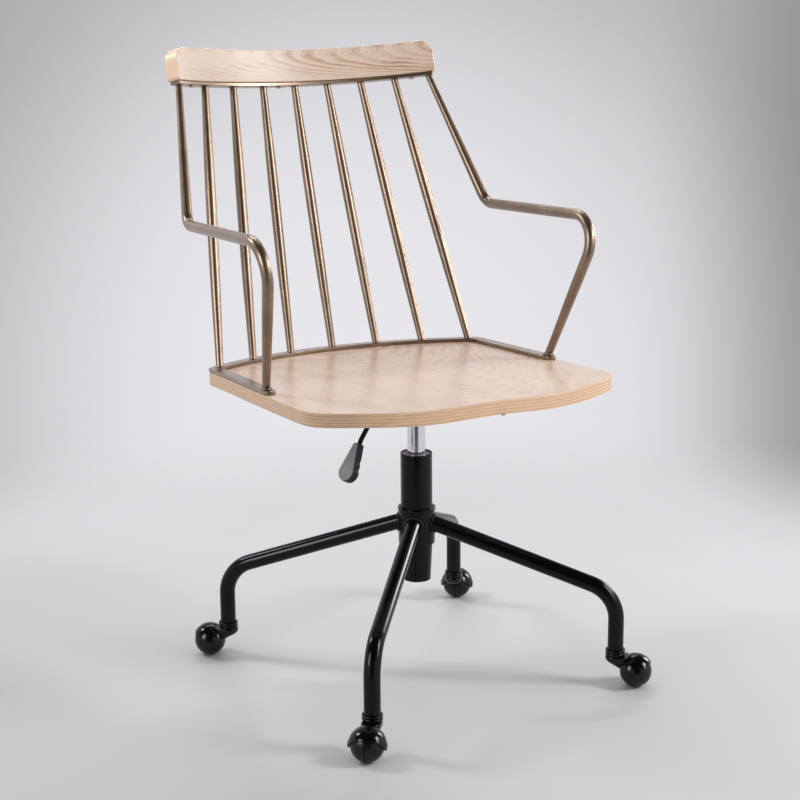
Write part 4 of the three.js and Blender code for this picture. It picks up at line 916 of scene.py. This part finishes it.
def look(name):
    """The finish of that name, made once."""
    if name not in LOOKS:
        tones = bpy.context.scene.chair_finishes
        LOOKS[name], finish = material(name)
        if name in COATED:
            coated(finish, getattr(tones, name), *COATED[name])
        else:
            MAKERS[name](finish, tones)
    return LOOKS[name]


# Base


def build_hub():
    """Hub with its lip and the four rings of weld where the legs meet it."""
    base = bpy.context.scene.chair_base
    low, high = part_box("hub")
    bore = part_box("column_tube")[1].x + TOUCH_GAP
    outer = high.x - base.hub_lip
    body = turned([
        (bore, low.z), (outer, low.z), (outer, high.z - base.hub_lip_height),
        (high.x, high.z - base.hub_lip_height), (high.x, high.z), (bore, high.z), (bore, low.z)])
    soften(body, base.hub_edge)
    start = Vector((base.inner_reach, 0, base.inner_height))
    along = (Vector((base.leg_reach, 0, base.corner_height)) - start).normalized()
    side = Vector((0, 1, 0))
    over = side.cross(along)
    radius = base.leg_radius + base.weld / 4
    saddle = []
    for k in range(base.weld_beads):
        spin = TURN * k / base.weld_beads
        spot = start + (side * math.cos(spin) + over * math.sin(spin)) * radius
        reach = (math.sqrt(outer ** 2 - spot.y ** 2) - spot.x) / along.x
        saddle.append(spot + along * reach)
    beads = [placed(weld_beads(saddle, base.weld), about_column(turn)) for turn in LEGS.values()]
    finish_piece("hub_with_welds", [body, *beads], Matrix(), "enamel", "base", "hub")


def build_leg(name, turn):
    """Bent leg tube with its two-beaded collar."""
    base = bpy.context.scene.chair_base
    place = about_column(turn)
    line = bent_line([
        Vector((base.inner_reach, 0, base.inner_height)),
        Vector((base.leg_reach, 0, base.corner_height)),
        Vector((base.leg_reach, 0, base.foot))], [base.bend])
    hub_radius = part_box("hub")[1].x - base.hub_lip
    tube = bar(line, lambda share: base.leg_radius)
    cut_off(tube, Vector((hub_radius - base.leg_radius / 4, 0, 0)), Vector((-1, 0, 0)))
    soften(tube, base.foot_edge)
    finish_piece(f"leg_tube_{name}", [tube], place, "enamel", "base", f"leg_{name}")
    bead = (base.foot - TOUCH_GAP - base.collar_bottom) / 4
    profile = [(0, base.collar_bottom)]
    for middle in (base.collar_bottom + bead, base.foot - TOUCH_GAP - bead):
        for k in range(BEAD_STEPS + 1):
            swing = math.pi * (k / BEAD_STEPS - 0.5)
            radius = base.collar_waist + (base.collar_radius - base.collar_waist) * math.cos(swing)
            profile.append((radius, middle + bead * math.sin(swing)))
    profile.append((0, base.foot - TOUCH_GAP))
    at_foot = place @ Matrix.Translation((base.leg_reach, 0, 0))
    finish_piece(f"collar_{name}", [turned(profile)], at_foot, "enamel", "base", f"socket_{name}")


class CHAIR_OT_base(bpy.types.Operator):
    """Builds the hub, the four bent legs and their collars"""
    bl_idname = "chair.build_base"
    bl_label = "Build Base"

    def execute(self, context):
        build_hub()
        for name, turn in LEGS.items():
            build_leg(name, turn)
        return {"FINISHED"}


# Column


class CHAIR_OT_column(bpy.types.Operator):
    """Builds the gas lift: outer tube with its groove, guide bush, polished piston and button"""
    bl_idname = "chair.build_column"
    bl_label = "Build Gas Lift"

    def execute(self, context):
        sizes = context.scene.chair_column
        low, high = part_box("column_tube")
        radius, foot = high.x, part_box("gas_piston")[1].x
        inner, taper_foot = radius - sizes.wall, radius - sizes.taper
        groove_top = high.z - sizes.groove_below
        groove_foot = groove_top - sizes.groove_width
        tube = turned([
            (0, low.z), (taper_foot, low.z), (radius, sizes.taper_top), (radius, groove_foot),
            (radius - sizes.groove_depth, groove_foot + sizes.groove_depth / 2),
            (radius - sizes.groove_depth, groove_top - sizes.groove_depth / 2), (radius, groove_top),
            (radius, high.z), (inner, high.z), (inner, sizes.taper_top),
            (taper_foot - sizes.wall, low.z + sizes.floor), (0, low.z + sizes.floor)])
        soften(tube, sizes.rim / 2, over=RIM_ANGLE)
        finish_piece("lift_tube", [tube], Matrix(), "enamel", "base", "column_tube")
        low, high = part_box("guide_bush")
        bore = foot + sizes.slide
        bush = turned([
            (bore, low.z), (high.x, low.z), (high.x, high.z), (foot + sizes.chamfer, high.z),
            (bore, high.z - sizes.chamfer), (bore, low.z)])
        finish_piece("lift_bush", [bush], Matrix(), "bush", "base", "guide_bush")
        low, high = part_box("gas_piston")
        piston = turned([
            (0, low.z), (foot, low.z), (foot, high.z), (sizes.well, high.z),
            (sizes.well, high.z - sizes.well_depth), (0, high.z - sizes.well_depth)])
        soften(piston, sizes.rim)
        finish_piece("lift_piston", [piston], Matrix(), "chrome", "lift", "gas_piston")
        dress_node("release_button", "steel")
        return {"FINISHED"}


# Castors


def hood_edge_turn(spin):
    """How far from the hood's pole its edge lies in one direction, found by halving."""
    low, high = HOOD_EDGE_BETWEEN
    for _ in range(HOOD_HALVINGS):
        middle = (low + high) / 2
        inside = math.cos(middle) > smooth_value(HOOD_EDGE_SHARES, math.sin(middle) * math.cos(spin))
        low, high = (middle, high) if inside else (low, middle)
    return (low + high) / 2


def hood_dome(sizes):
    """Hood shell round the ball: rings from the pole to an edge that dips to the axle at both sides."""
    edge_turns = {}

    def spot(spin, share):
        key = round(spin, 4)
        if key not in edge_turns:
            edge_turns[key] = hood_edge_turn(spin)
        tilt = edge_turns[key] * share
        flat = sizes.hood * math.sin(tilt)
        return Vector((flat * math.cos(spin), flat * math.sin(spin), sizes.hood * math.cos(tilt)))

    shell = bmesh.new()
    ring = bmesh.ops.create_circle(
        shell, cap_ends=True, cap_tris=True, segments=HOOD_STEPS,
        radius=sizes.hood / HOOD_ROWS)["verts"]
    pole = next(vert for vert in ring if vert.co.length < MERGE_GAP)
    pole.co = Vector((0, 0, sizes.hood))
    ring = [vert for vert in ring if vert is not pole]
    for row in range(1, HOOD_ROWS + 1):
        if row > 1:
            rim = [edge for edge in shell.edges if edge.is_boundary]
            ring = only_verts(bmesh.ops.extrude_edge_only(shell, edges=rim)["geom"])
        for vert in ring:
            vert.co = spot(math.atan2(vert.co.y, vert.co.x), row / HOOD_ROWS)
    bmesh.ops.recalc_face_normals(shell, faces=shell.faces)
    if sum(face.normal.z for face in shell.faces) < 0:
        bmesh.ops.reverse_faces(shell, faces=shell.faces)
    bmesh.ops.solidify(shell, geom=shell.faces[:], thickness=sizes.hood_wall)
    soften(shell, sizes.hood_edge, over=LIP_ANGLE)
    return placed(shell, Matrix.Translation((sizes.offset, 0, sizes.ball)))


def hood_neck(sizes, base):
    """Neck from under the collar: round far end, straight sides, sunk in the hood's wall."""
    unit = base.collar_radius
    centre = Vector((sizes.offset, 0, sizes.ball))
    shell = bmesh.new()
    ring = bmesh.ops.create_circle(shell, segments=NECK_STEPS, radius=unit)["verts"]
    edges = shell.edges[:]
    bmesh.ops.contextual_create(shell, geom=edges)
    spins = {vert: math.atan2(vert.co.y, vert.co.x) for vert in ring}
    for number, (down, reach, half) in enumerate(NECK_ROWS):
        if number:
            before = spins
            ring = only_verts(bmesh.ops.extrude_edge_only(shell, edges=edges)["geom"])
            spins = {v: before[min(before, key=lambda old: (old.co - v.co).length)] for v in ring}
            edges = edges_between(ring)
        height = base.collar_bottom - TOUCH_GAP - down * unit
        for vert, spin in spins.items():
            x = half * unit * math.cos(spin) + (half - reach) * unit
            if math.cos(spin) > 0:
                x += max(0.0, sizes.neck_front - (2 * half - reach) * unit) * min(1, 4 * math.cos(spin))
            y = half * unit * math.sin(spin)
            room = sizes.neck_sink ** 2 - y ** 2 - (height - centre.z) ** 2
            if room > 0:
                x = min(x, centre.x - math.sqrt(room))
            vert.co = Vector((x, y, height))
    bmesh.ops.contextual_create(shell, geom=edges)
    return shell


def ball_half(sizes):
    """Half of the ball, standing on its seam face, with the bore for the axle."""
    start = math.asin((sizes.seam + sizes.seam_edge) / sizes.ball)
    end = math.asin(sizes.pole / sizes.ball)
    turns = [start + (end - start) * k / BALL_STEPS for k in range(BALL_STEPS + 1)]
    dome = [(sizes.ball * math.cos(turn), sizes.ball * math.sin(turn)) for turn in turns]
    seam_radius = sizes.ball * math.cos(start) - sizes.seam_edge
    return turned([
        (sizes.bore, sizes.seam), (seam_radius, sizes.seam), *dome, (sizes.bore, sizes.pole),
        (sizes.bore, sizes.seam)])


def build_castor(name, turn):
    """Hood with neck and bosses, and the two halves of the ball."""
    sizes, base = bpy.context.scene.chair_castor, bpy.context.scene.chair_base
    place = about_column(turn) @ Matrix.Translation((base.leg_reach, 0, 0))
    at_ball = Matrix.Translation((sizes.offset, 0, sizes.ball))
    shells = [hood_dome(sizes), hood_neck(sizes, base)]
    for side in (-1, 1):
        boss = turned([(0, sizes.boss_from), (sizes.boss, sizes.boss_from),
                       (sizes.boss, sizes.boss_to), (0, sizes.boss_to)], BOSS_STEPS)
        soften(boss, sizes.boss_edge)
        shells.append(placed(boss, at_ball @ Matrix.Rotation(side * QUARTER, 4, "X")))
    finish_piece(
        f"castor_cap_{name}", shells, place, "castor_shell", f"castor_{name}", f"castor_hood_{name}")
    for half, side in (("a", -1), ("b", 1)):
        half_place = place @ at_ball @ Matrix.Rotation(side * QUARTER, 4, "X")
        finish_piece(
            f"castor_ball_{name}_{half}", [ball_half(sizes)], half_place, "castor_ball", f"ball_{name}",
            f"ball_{name}_{half}")
    dress_node(f"castor_stem_{name}", "steel")
    dress_node(f"castor_axle_{name}", "steel")


class CHAIR_OT_castors(bpy.types.Operator):
    """Builds the four ball castors"""
    bl_idname = "chair.build_castors"
    bl_label = "Build Castors"

    def execute(self, context):
        for name, turn in LEGS.items():
            build_castor(name, turn)
        return {"FINISHED"}


# Seat


def board_outline():
    """Outline of the CAD board in the seat frame, made round by a smooth curve through its corners."""
    node = frame["nodes"]["seat_board"]
    back_to_seat = seat_place().inverted()
    spots = [back_to_seat @ vert.co for vert in node.data.vertices]
    inner = bpy.context.scene.chair_seat.thickness / 2
    level = [spot for spot in spots if abs(spot.z + inner) < inner - FACE_ROOM and spot.z > -inner]
    level = [spot for spot in level if spot.xy.length > OUTLINE_FROM]
    by_turn = {round(math.atan2(spot.y, spot.x), 3): spot for spot in level}
    loop = [by_turn[key] for key in sorted(by_turn)]
    outline = []
    for i, here in enumerate(loop):
        before, after, further = loop[i - 1], loop[(i + 1) % len(loop)], loop[(i + 2) % len(loop)]
        for k in range(OUTLINE_STEPS):
            t = k / OUTLINE_STEPS
            square = 2 * before - 5 * here + 4 * after - further
            cube = 3 * here - before - 3 * after + further
            spot = (2 * here + (after - before) * t + square * t ** 2 + cube * t ** 3) / 2
            outline.append((spot.x, spot.y))
    return outline


def saddle(shell, sizes):
    """Gentle saddle: the front edge dips at both thighs; the wave fades towards the strap."""
    step = sizes.wave_pitch / CUTS_TO_A_WAVE
    for k in range(-SADDLE_CUTS, SADDLE_CUTS + 1):
        divide(shell, (step * k, 0, 0), (1, 0, 0))
    for k in range(1, SADDLE_CUTS):
        divide(shell, (0, -step * k, 0), (0, 1, 0))
    for vert in shell.verts:
        share = (vert.co.y - sizes.wave_back) / (sizes.wave_front - sizes.wave_back)
        share = min(max(share, 0), 1)
        fade = share * share * (3 - 2 * share)
        vert.co.z += sizes.wave * fade * math.cos(math.pi * vert.co.x / sizes.wave_pitch)


class CHAIR_OT_seat(bpy.types.Operator):
    """Builds the veneered plywood board of the seat"""
    bl_idname = "chair.build_seat"
    bl_label = "Build Seat Board"

    def execute(self, context):
        sizes = context.scene.chair_seat
        board = plate(board_outline(), -sizes.thickness, 0.0)
        soften(board, sizes.edge, BROAD_EDGE_STEPS)
        saddle(board, sizes)
        finish_piece("seat_panel", [board], seat_place(), "seat_wood", "seat", "seat_board")
        dress_node("edge_screw", "steel")
        return {"FINISHED"}


# Back and arms


def strap_outline(sizes):
    """Plan of the lower strap: back arc, two side legs and their round tips."""
    centre_y = sizes.strap_back - sizes.strap_radius
    outer, inner = sizes.strap_radius + sizes.strap_half, sizes.strap_radius - sizes.strap_half
    outer_side = sizes.strap_side_back + sizes.strap_half
    inner_side = sizes.strap_side_back - sizes.strap_half
    corner_y = centre_y + math.sqrt(outer ** 2 - outer_side ** 2)

    def arc(radius, reach):
        last = math.asin(reach / radius)
        return [tuple(on_arc(radius, last * k / ARC_STEPS, centre_y).xy) for k in range(ARC_STEPS + 1)]

    turns = [-math.pi * k / STRAP_TIP_STEPS for k in range(STRAP_TIP_STEPS + 1)]
    tip = [(sizes.strap_side_front + sizes.strap_half * math.cos(turn),
            sizes.strap_tip + sizes.strap_half * math.sin(turn)) for turn in turns]
    run = sizes.strap_corner_run
    corner_from = Vector(arc(outer, sizes.strap_side_back - run)[-1])
    corner_to = Vector((outer_side, corner_y - run))
    corner = Vector((outer_side, corner_y))
    rounding = [tuple(corner_from.lerp(corner, t).lerp(corner.lerp(corner_to, t), t))
                for t in [k / STRAP_CORNER_STEPS for k in range(1, STRAP_CORNER_STEPS)]]
    half = [*arc(outer, sizes.strap_side_back - run), *rounding, tuple(corner_to), *tip,
            *reversed(arc(inner, inner_side))]
    return half + [(-x, y) for x, y in reversed(half[1:-1])]


def bent_band(arc, reach_in, reach_out, half_angle, bottom, height, top_round, foot_round, edge):
    """Band along the back's arc: a block with its end corners rounded, cut into strips and bent."""
    reach = half_angle * arc
    thickness = reach_in + reach_out
    middle = (reach_out - reach_in) / 2
    block = Matrix.Translation((0, middle, bottom + height / 2)) @ Matrix.Diagonal(
        (2 * reach, thickness, height, 1))
    shell = bmesh.new()
    bmesh.ops.create_cube(shell, size=1, matrix=block)
    for rounding, level in ((top_round, bottom + height), (foot_round, bottom)):
        ends = [line for line in shell.edges if line.verts[0].co.x * line.verts[1].co.x > 0 and all(
            abs(vert.co.z - level) < MERGE_GAP for vert in line.verts)]
        if rounding:
            bmesh.ops.bevel(
                shell, geom=ends, offset=rounding, offset_type="OFFSET", segments=CORNER_STEPS,
                profile=0.5, affect="EDGES", clamp_overlap=False, material=-1)
    soften(shell, edge)
    for k in range(1, BAND_STRIPS):
        divide(shell, (reach * (2 * k / BAND_STRIPS - 1), 0, 0), (1, 0, 0))
    for vert in shell.verts:
        vert.co = on_arc(arc + vert.co.y, vert.co.x / arc, -arc, vert.co.z)
    return shell


def spindle_ends(number):
    """Foot and top of a spindle in the seat frame, counted from the middle."""
    seat, back = bpy.context.scene.chair_seat, bpy.context.scene.chair_back
    corner = seat.strap_side_back - seat.strap_corner_run
    foot_step = back.spindle_foot_share * math.asin(corner / seat.strap_radius)
    foot = on_arc(
        seat.strap_radius, number * foot_step, seat.strap_back - seat.strap_radius, top_of_strap())
    top_step = back.spindle_top_share * back.half_angle
    return foot, back_in_seat() @ on_arc(back.arc, number * top_step, -back.arc)


def tapered(line, table, radius):
    """Tapered bar, run past both ends of its line and cut level with the two straps."""
    first = line[0] + (line[0] - line[1]).normalized() * radius
    last = line[-1] + (line[-1] - line[-2]).normalized() * radius
    shell = bar([first, *line, last], lambda share: radius * smooth_value(table, share))
    cut_off(shell, UP * top_of_strap(), -UP)
    frame_place = back_in_seat()
    cut_off(shell, frame_place.translation, frame_place.to_3x3() @ UP)
    return shell


def build_spindle(name, number):
    """Spindle with a small ring of weld at both straps."""
    back = bpy.context.scene.chair_back
    foot, top = spindle_ends(number)
    rod = tapered(bent_line([foot, top], []), SPINDLE_TAPER_SHARES, back.spindle_radius)
    turned_over = back_in_seat().to_3x3().to_4x4() @ Matrix.Rotation(math.pi, 4, "X")
    rings = [
        placed(fillet_ring(back.spindle_radius * share, back.weld, SPINDLE_RING), place)
        for share, place in (
            (SPINDLE_TAPER_SHARES[0][1], Matrix.Translation(foot)),
            (SPINDLE_TAPER_SHARES[-1][1], Matrix.Translation(top) @ turned_over))]
    finish_piece(f"back_rod_{name}", [rod, *rings], seat_place(), "bronze", "seat", f"spindle_{name}")


def build_arm(name, side):
    """Looped arm with the weld collar at its foot."""
    seat, back = bpy.context.scene.chair_seat, bpy.context.scene.chair_back
    foot = Vector((seat.strap_side_front + back.arm_foot_shift, back.arm_foot_y, top_of_strap()))
    top = back_in_seat() @ on_arc(back.arc, back.half_angle - back.arm_inset, -back.arc)
    flip = Matrix.Diagonal((side, 1, 1, 1))
    corners = [flip @ spot for spot in (foot, Vector(back.arm_front), Vector(back.arm_back), top)]
    line = bent_line(corners, [back.arm_front_bend, back.arm_back_bend])
    rod = tapered(line, ARM_TAPER_SHARES, back.arm_radius)
    foot_radius = back.arm_radius * ARM_TAPER_SHARES[0][1]
    outer, rise = foot_radius + back.arm_collar, back.arm_collar_height
    collar = soften(turned([(0, 0), (outer, 0), (outer, rise), (0, rise)], COLLAR_STEPS), rise / 3)
    ring = fillet_ring(foot_radius, back.weld, ARM_RING)
    at_foot = Matrix.Translation(corners[0])
    shells = [rod, placed(collar, at_foot), placed(ring, at_foot @ Matrix.Translation((0, 0, rise)))]
    finish_piece(f"arm_loop_{name}", shells, seat_place(), "bronze", "seat", f"arm_{name}")


class CHAIR_OT_back(bpy.types.Operator):
    """Builds the lower strap, the seven spindles, the two arms and the top strap with its screws"""
    bl_idname = "chair.build_back"
    bl_label = "Build Bronze Back"

    def execute(self, context):
        seat, back = context.scene.chair_seat, context.scene.chair_back
        strap = soften(plate(strap_outline(seat), TOUCH_GAP, top_of_strap()), seat.strap_edge)
        finish_piece("seat_strap", [strap], seat_place(), "bronze", "seat", "lower_strap")
        for name, number in zip(SPINDLES, range(-3, 4)):
            build_spindle(name, number)
        for name, side in (("left", -1), ("right", 1)):
            build_arm(name, side)
        band = bent_band(
            back.arc, back.strap_in, back.strap_out, back.half_angle, TOUCH_GAP, back.strap_thickness,
            0, 0, seat.strap_edge)
        finish_piece("back_strap", [band], seat_place() @ back_in_seat(), "bronze", "seat", "top_strap")
        for name in ("left", "middle", "right"):
            dress_node(f"rail_screw_{name}", "steel")
        return {"FINISHED"}


class CHAIR_OT_rail(bpy.types.Operator):
    """Builds the bent plywood crest rail"""
    bl_idname = "chair.build_rail"
    bl_label = "Build Crest Rail"

    def execute(self, context):
        back = context.scene.chair_back
        band = bent_band(
            back.arc, back.rail_in, back.rail_out, back.half_angle + back.rail_past,
            bottom_of_rail(back), back.rail_height, back.rail_top_round, back.rail_foot_round,
            back.rail_edge)
        finish_piece("crest", [band], seat_place() @ back_in_seat(), "rail_wood", "seat", "crest_rail")
        return {"FINISHED"}


# Mechanism and lever


class CHAIR_OT_mechanism(bpy.types.Operator):
    """Finishes the plate, socket, bolts and pivot under the seat"""
    bl_idname = "chair.build_mechanism"
    bl_label = "Finish Mechanism"

    def execute(self, context):
        dress_node("seat_mechanism", "mechanism")
        dress_node("lever_pivot", "steel")
        for name in ("front_left", "front_right", "back_left", "back_right"):
            dress_node(f"mount_bolt_{name}", "steel")
        return {"FINISHED"}


def grip_outline(sizes, shrink, notched):
    """Outline of the handle: narrow top, round wide end, two notches on the front edge."""
    wide, narrow = sizes.wide_half - shrink, sizes.top_half - shrink
    reach = sizes.reach - shrink - sizes.wide_at
    turns = [math.pi * (k / GRIP_ROUND_STEPS - 0.5) for k in range(GRIP_ROUND_STEPS + 1)]
    rounding = [(wide * math.sin(turn), -sizes.wide_at - reach * math.cos(turn)) for turn in turns]
    edge = []
    for k in range(GRIP_EDGE_STEPS + 1):
        share = k / GRIP_EDGE_STEPS
        down = sizes.notches_to + (sizes.notches_from - sizes.notches_to) * share
        dip = sizes.notch * math.sin(share * TURN) ** 2 if notched else 0
        edge.append((narrow + (wide - narrow) * down / sizes.wide_at - dip, -down))
    return [(-narrow, -shrink), *rounding, *edge, (narrow, -shrink)]


class CHAIR_OT_lever(bpy.types.Operator):
    """Builds the release lever: bent rod, black handle and its grey face cap"""
    bl_idname = "chair.build_lever"
    bl_label = "Build Lever"

    def execute(self, context):
        sizes = context.scene.chair_lever
        place = Matrix.Rotation(sizes.azimuth, 4, "Z")
        along = Vector((math.sin(sizes.tilt), 0, -math.cos(sizes.tilt)))
        outward = Vector((math.cos(sizes.tilt), 0, math.sin(sizes.tilt)))
        top = Vector((sizes.grip_reach, 0, sizes.rod_height - sizes.grip_drop))
        line = bent_line([
            Vector((-sizes.tip, 0, sizes.rod_height)), Vector((sizes.knee, 0, sizes.rod_height)),
            top - along * (sizes.neck_bend / 2), top + along * sizes.embed,
        ], [sizes.knee_bend, sizes.neck_bend])
        rod = bar(line, lambda share: sizes.rod, LEVER_SIDES)
        finish_piece("lever_bar", [rod], place, "enamel", "lever", "lever_rod")
        grip_place = Matrix((
            (0, -along.x, outward.x, top.x), (1, -along.y, outward.y, top.y),
            (0, -along.z, outward.z, top.z), (0, 0, 0, 1)))
        half = sizes.thickness / 2
        handle = plate(grip_outline(sizes, 0, True), -half, half)
        soften(handle, sizes.handle_edge, BROAD_EDGE_STEPS)
        finish_piece("lever_paddle", [handle], place @ grip_place, "grip", "lever", "lever_handle")
        cap = plate(grip_outline(sizes, sizes.cap_inset, False), half, half + TOUCH_GAP + sizes.cap)
        soften(cap, sizes.cap_edge)
        finish_piece("lever_face", [cap], place @ grip_place, "grip_face", "lever", "lever_face_cap")
        return {"FINISHED"}


# Stage


def lamp(name, location, target, size, power):
    """Soft rectangular lamp that points at a target."""
    data = bpy.data.lights.new(name, "AREA")
    data.energy = power
    data.shape = "RECTANGLE"
    data.size, data.size_y = size
    made = bpy.data.objects.new(name, data)
    made.location = location
    made.rotation_euler = (Vector(target) - Vector(location)).to_track_quat("-Z", "Y").to_euler()
    bpy.context.scene.collection.objects.link(made)
    return made


def camera_axes(stage):
    """Right, up and back vectors of the camera before its roll."""
    back = Vector((
        math.sin(stage.azimuth) * math.cos(stage.elevation),
        -math.cos(stage.azimuth) * math.cos(stage.elevation), math.sin(stage.elevation)))
    right = Vector((math.cos(stage.azimuth), math.sin(stage.azimuth), 0))
    return right, back.cross(right), back


class CHAIR_OT_camera(bpy.types.Operator):
    """Sets the camera at the reference view"""
    bl_idname = "chair.build_camera"
    bl_label = "Set Camera"

    def execute(self, context):
        stage = context.scene.chair_stage
        right, up, back = camera_axes(stage)
        data = bpy.data.cameras.new("camera")
        data.sensor_width = stage.sensor
        data.lens = stage.lens
        made = bpy.data.objects.new("camera", data)
        context.scene.collection.objects.link(made)
        across = right * math.cos(stage.roll) + up * math.sin(stage.roll)
        over = up * math.cos(stage.roll) - right * math.sin(stage.roll)
        turn = Matrix((across, over, back)).transposed().to_4x4()
        target = right * stage.target_side + UP * stage.target_height
        made.matrix_world = Matrix.Translation(target + back * stage.distance) @ turn
        context.scene.camera = made
        return {"FINISHED"}


def backdrop_world(stage):
    """World: a glow behind the chair and a dim studio round it, and an even light for what is matt."""
    world = bpy.data.worlds.new("studio")
    bpy.context.scene.world = world
    finish = Finish(world)
    right, up, back = camera_axes(stage)
    toward = finish.wire("ShaderNodeTexCoord", output="Generated")
    deep, side, rise = [finish.measure("DOT_PRODUCT", toward, axis) for axis in (-back, right, up)]
    height = finish.parts(toward)[2]

    def span(name, value):
        return finish.ramp(value, *BACKDROP_SPANS[name])

    # Glow behind the back and a paler band at the horizon
    off = side + GLOW_SHIFT
    ahead = span("ahead", deep)
    band = span("horizon", abs(rise + HORIZON_DROP)) * ahead
    glow = (span("glow", off * off + rise * rise) * ahead).math("MAXIMUM", band * 0.85)
    shade = finish.mix(glow, stage.backdrop_far, stage.backdrop)
    # Both sides of the photograph's backdrop are darker; from elsewhere the camera sees it plain
    dim = span("dim_right", side) * 0.42 + span("dim_left", side) * 0.12
    seen_by_camera = finish.mix(
        span("off_view", deep), finish.mix(dim, shade, stage.dark_room), stage.backdrop)
    # What metal mirrors: a dark room with a pale panel above and pale walls at both sides
    room = span("dark_room", deep).math("MAXIMUM", dim)
    panel = span("panel_foot", rise) * span("panel_head", rise) * span("panel_ahead", deep)
    walls = span("wall_right", side).math("MAXIMUM", span("wall_left", side) * 0.9)
    pale = panel.math("MAXIMUM", walls * span("wall_height", height))
    mirrored = finish.mix(pale, finish.mix(room, shade, stage.dark_room), stage.backdrop)
    path = finish.node("ShaderNodeLightPath")
    camera, glossy, through = [
        Wire(finish, path.outputs[f"Is {kind} Ray"]) for kind in ("Camera", "Glossy", "Transmission")]
    seen = finish.wire("ShaderNodeBackground", values={
        "Color": finish.mix(camera, mirrored, seen_by_camera), "Strength": 1.0})
    level = (0.6 + span("sky", rise) * 0.4) * stage.world_light
    light = finish.wire("ShaderNodeBackground", values={"Color": (1, 1, 1, 1), "Strength": level})
    shown = camera.math("MAXIMUM", glossy).math("MAXIMUM", through)
    both = finish.wire("ShaderNodeMixShader", values={0: shown, 1: light, 2: seen})
    finish.node("ShaderNodeOutputWorld", values={"Surface": both})


def build_floor(stage):
    """Pale round floor that fades into the backdrop, with painted shade beyond a line and faint
    mottling.
    """
    shell = bmesh.new()
    bmesh.ops.create_circle(shell, cap_ends=True, segments=FLOOR_STEPS, radius=stage.floor_radius)
    mesh = bpy.data.meshes.new("floor")
    shell.to_mesh(mesh)
    shell.free()
    floor = bpy.data.objects.new("floor", mesh)
    bpy.context.scene.collection.objects.link(floor)
    made, finish = material("studio_floor")
    place = finish.place()
    fade = finish.ramp(finish.measure("LENGTH", place), stage.fade_from, stage.fade_to)
    # Painted shade beyond a line in plan, mixed with faint random mottling
    beyond = finish.ramp(finish.measure("DOT_PRODUCT", place, PAINTED_SHADE_NORMAL), *PAINTED_SHADE_SPAN)
    painted_shade_and_mottle = beyond * 0.75 + finish.noise(place, CELLS["floor"]) * 0.25
    shade = finish.mix(painted_shade_and_mottle, stage.floor, [value * 0.8 for value in stage.floor])
    ground = finish.wire("ShaderNodeBsdfPrincipled", values={"Base Color": shade, "Roughness": 0.55})
    clear = finish.wire("ShaderNodeBsdfTransparent")
    both = finish.wire("ShaderNodeMixShader", values={0: fade, 1: ground, 2: clear})
    finish.node("ShaderNodeOutputMaterial", values={"Surface": both})
    mesh.materials.append(made)


class CHAIR_OT_stage(bpy.types.Operator):
    """Lays the pale floor, lights the studio and sets the backdrop"""
    bl_idname = "chair.build_stage"
    bl_label = "Build Stage"

    def execute(self, context):
        stage = context.scene.chair_stage
        build_floor(stage)
        glossy = bpy.data.collections.new("all_but_seat_and_floor")
        for piece in context.scene.objects:
            if piece.type == "MESH" and piece.name not in WITHOUT_GLINTS:
                glossy.objects.link(piece)
        for name, spot in {**LAMPS, **GLINTS}.items():
            made = lamp(name, *spot, getattr(stage, name))
            if name in GLINTS:
                made.light_linking.receiver_collection = glossy
        backdrop_world(stage)
        context.scene.view_settings.view_transform = "Standard"
        return {"FINISHED"}


class CHAIR_PT_panel(bpy.types.Panel):
    """Lists the sizes, the finishes and the steps of the armchair"""
    bl_idname = "CHAIR_PT_panel"
    bl_label = "Swivel Armchair"
    bl_space_type = "VIEW_3D"
    bl_region_type = "UI"
    bl_category = "Armchair"

    def draw(self, context):
        for step in STEPS:
            self.layout.operator(step.bl_idname)
        for name, group in GROUPS.items():
            box = self.layout.box()
            box.label(text=name.replace("_", " ").capitalize())
            for key in group.__annotations__:
                box.prop(getattr(context.scene, name), key)


GROUPS = {
    "chair_seat": SeatSizes,
    "chair_back": BackSizes,
    "chair_base": BaseSizes,
    "chair_column": ColumnSizes,
    "chair_castor": CastorSizes,
    "chair_lever": LeverSizes,
    "chair_finishes": Finishes,
    "chair_stage": StageSettings,
}
STEPS = [
    CHAIR_OT_camera, CHAIR_OT_base, CHAIR_OT_column, CHAIR_OT_castors, CHAIR_OT_seat, CHAIR_OT_back,
    CHAIR_OT_rail, CHAIR_OT_mechanism, CHAIR_OT_lever, CHAIR_OT_stage,
]
CLASSES = [*GROUPS.values(), *STEPS, CHAIR_PT_panel]


def register():
    """Registers the classes and hangs the sizes on the scene."""
    for item in CLASSES:
        bpy.utils.register_class(item)
    for name, group in GROUPS.items():
        setattr(bpy.types.Scene, name, bpy.props.PointerProperty(type=group))


def unregister():
    """Undoes register."""
    for name in GROUPS:
        delattr(bpy.types.Scene, name)
    for item in reversed(CLASSES):
        bpy.utils.unregister_class(item)


def main():
    """Builds the whole chair."""
    register()
    for step in STEPS:
        area, action = step.bl_idname.split(".")
        getattr(getattr(bpy.ops, area), action)()


if __name__ == "__main__":
    main()
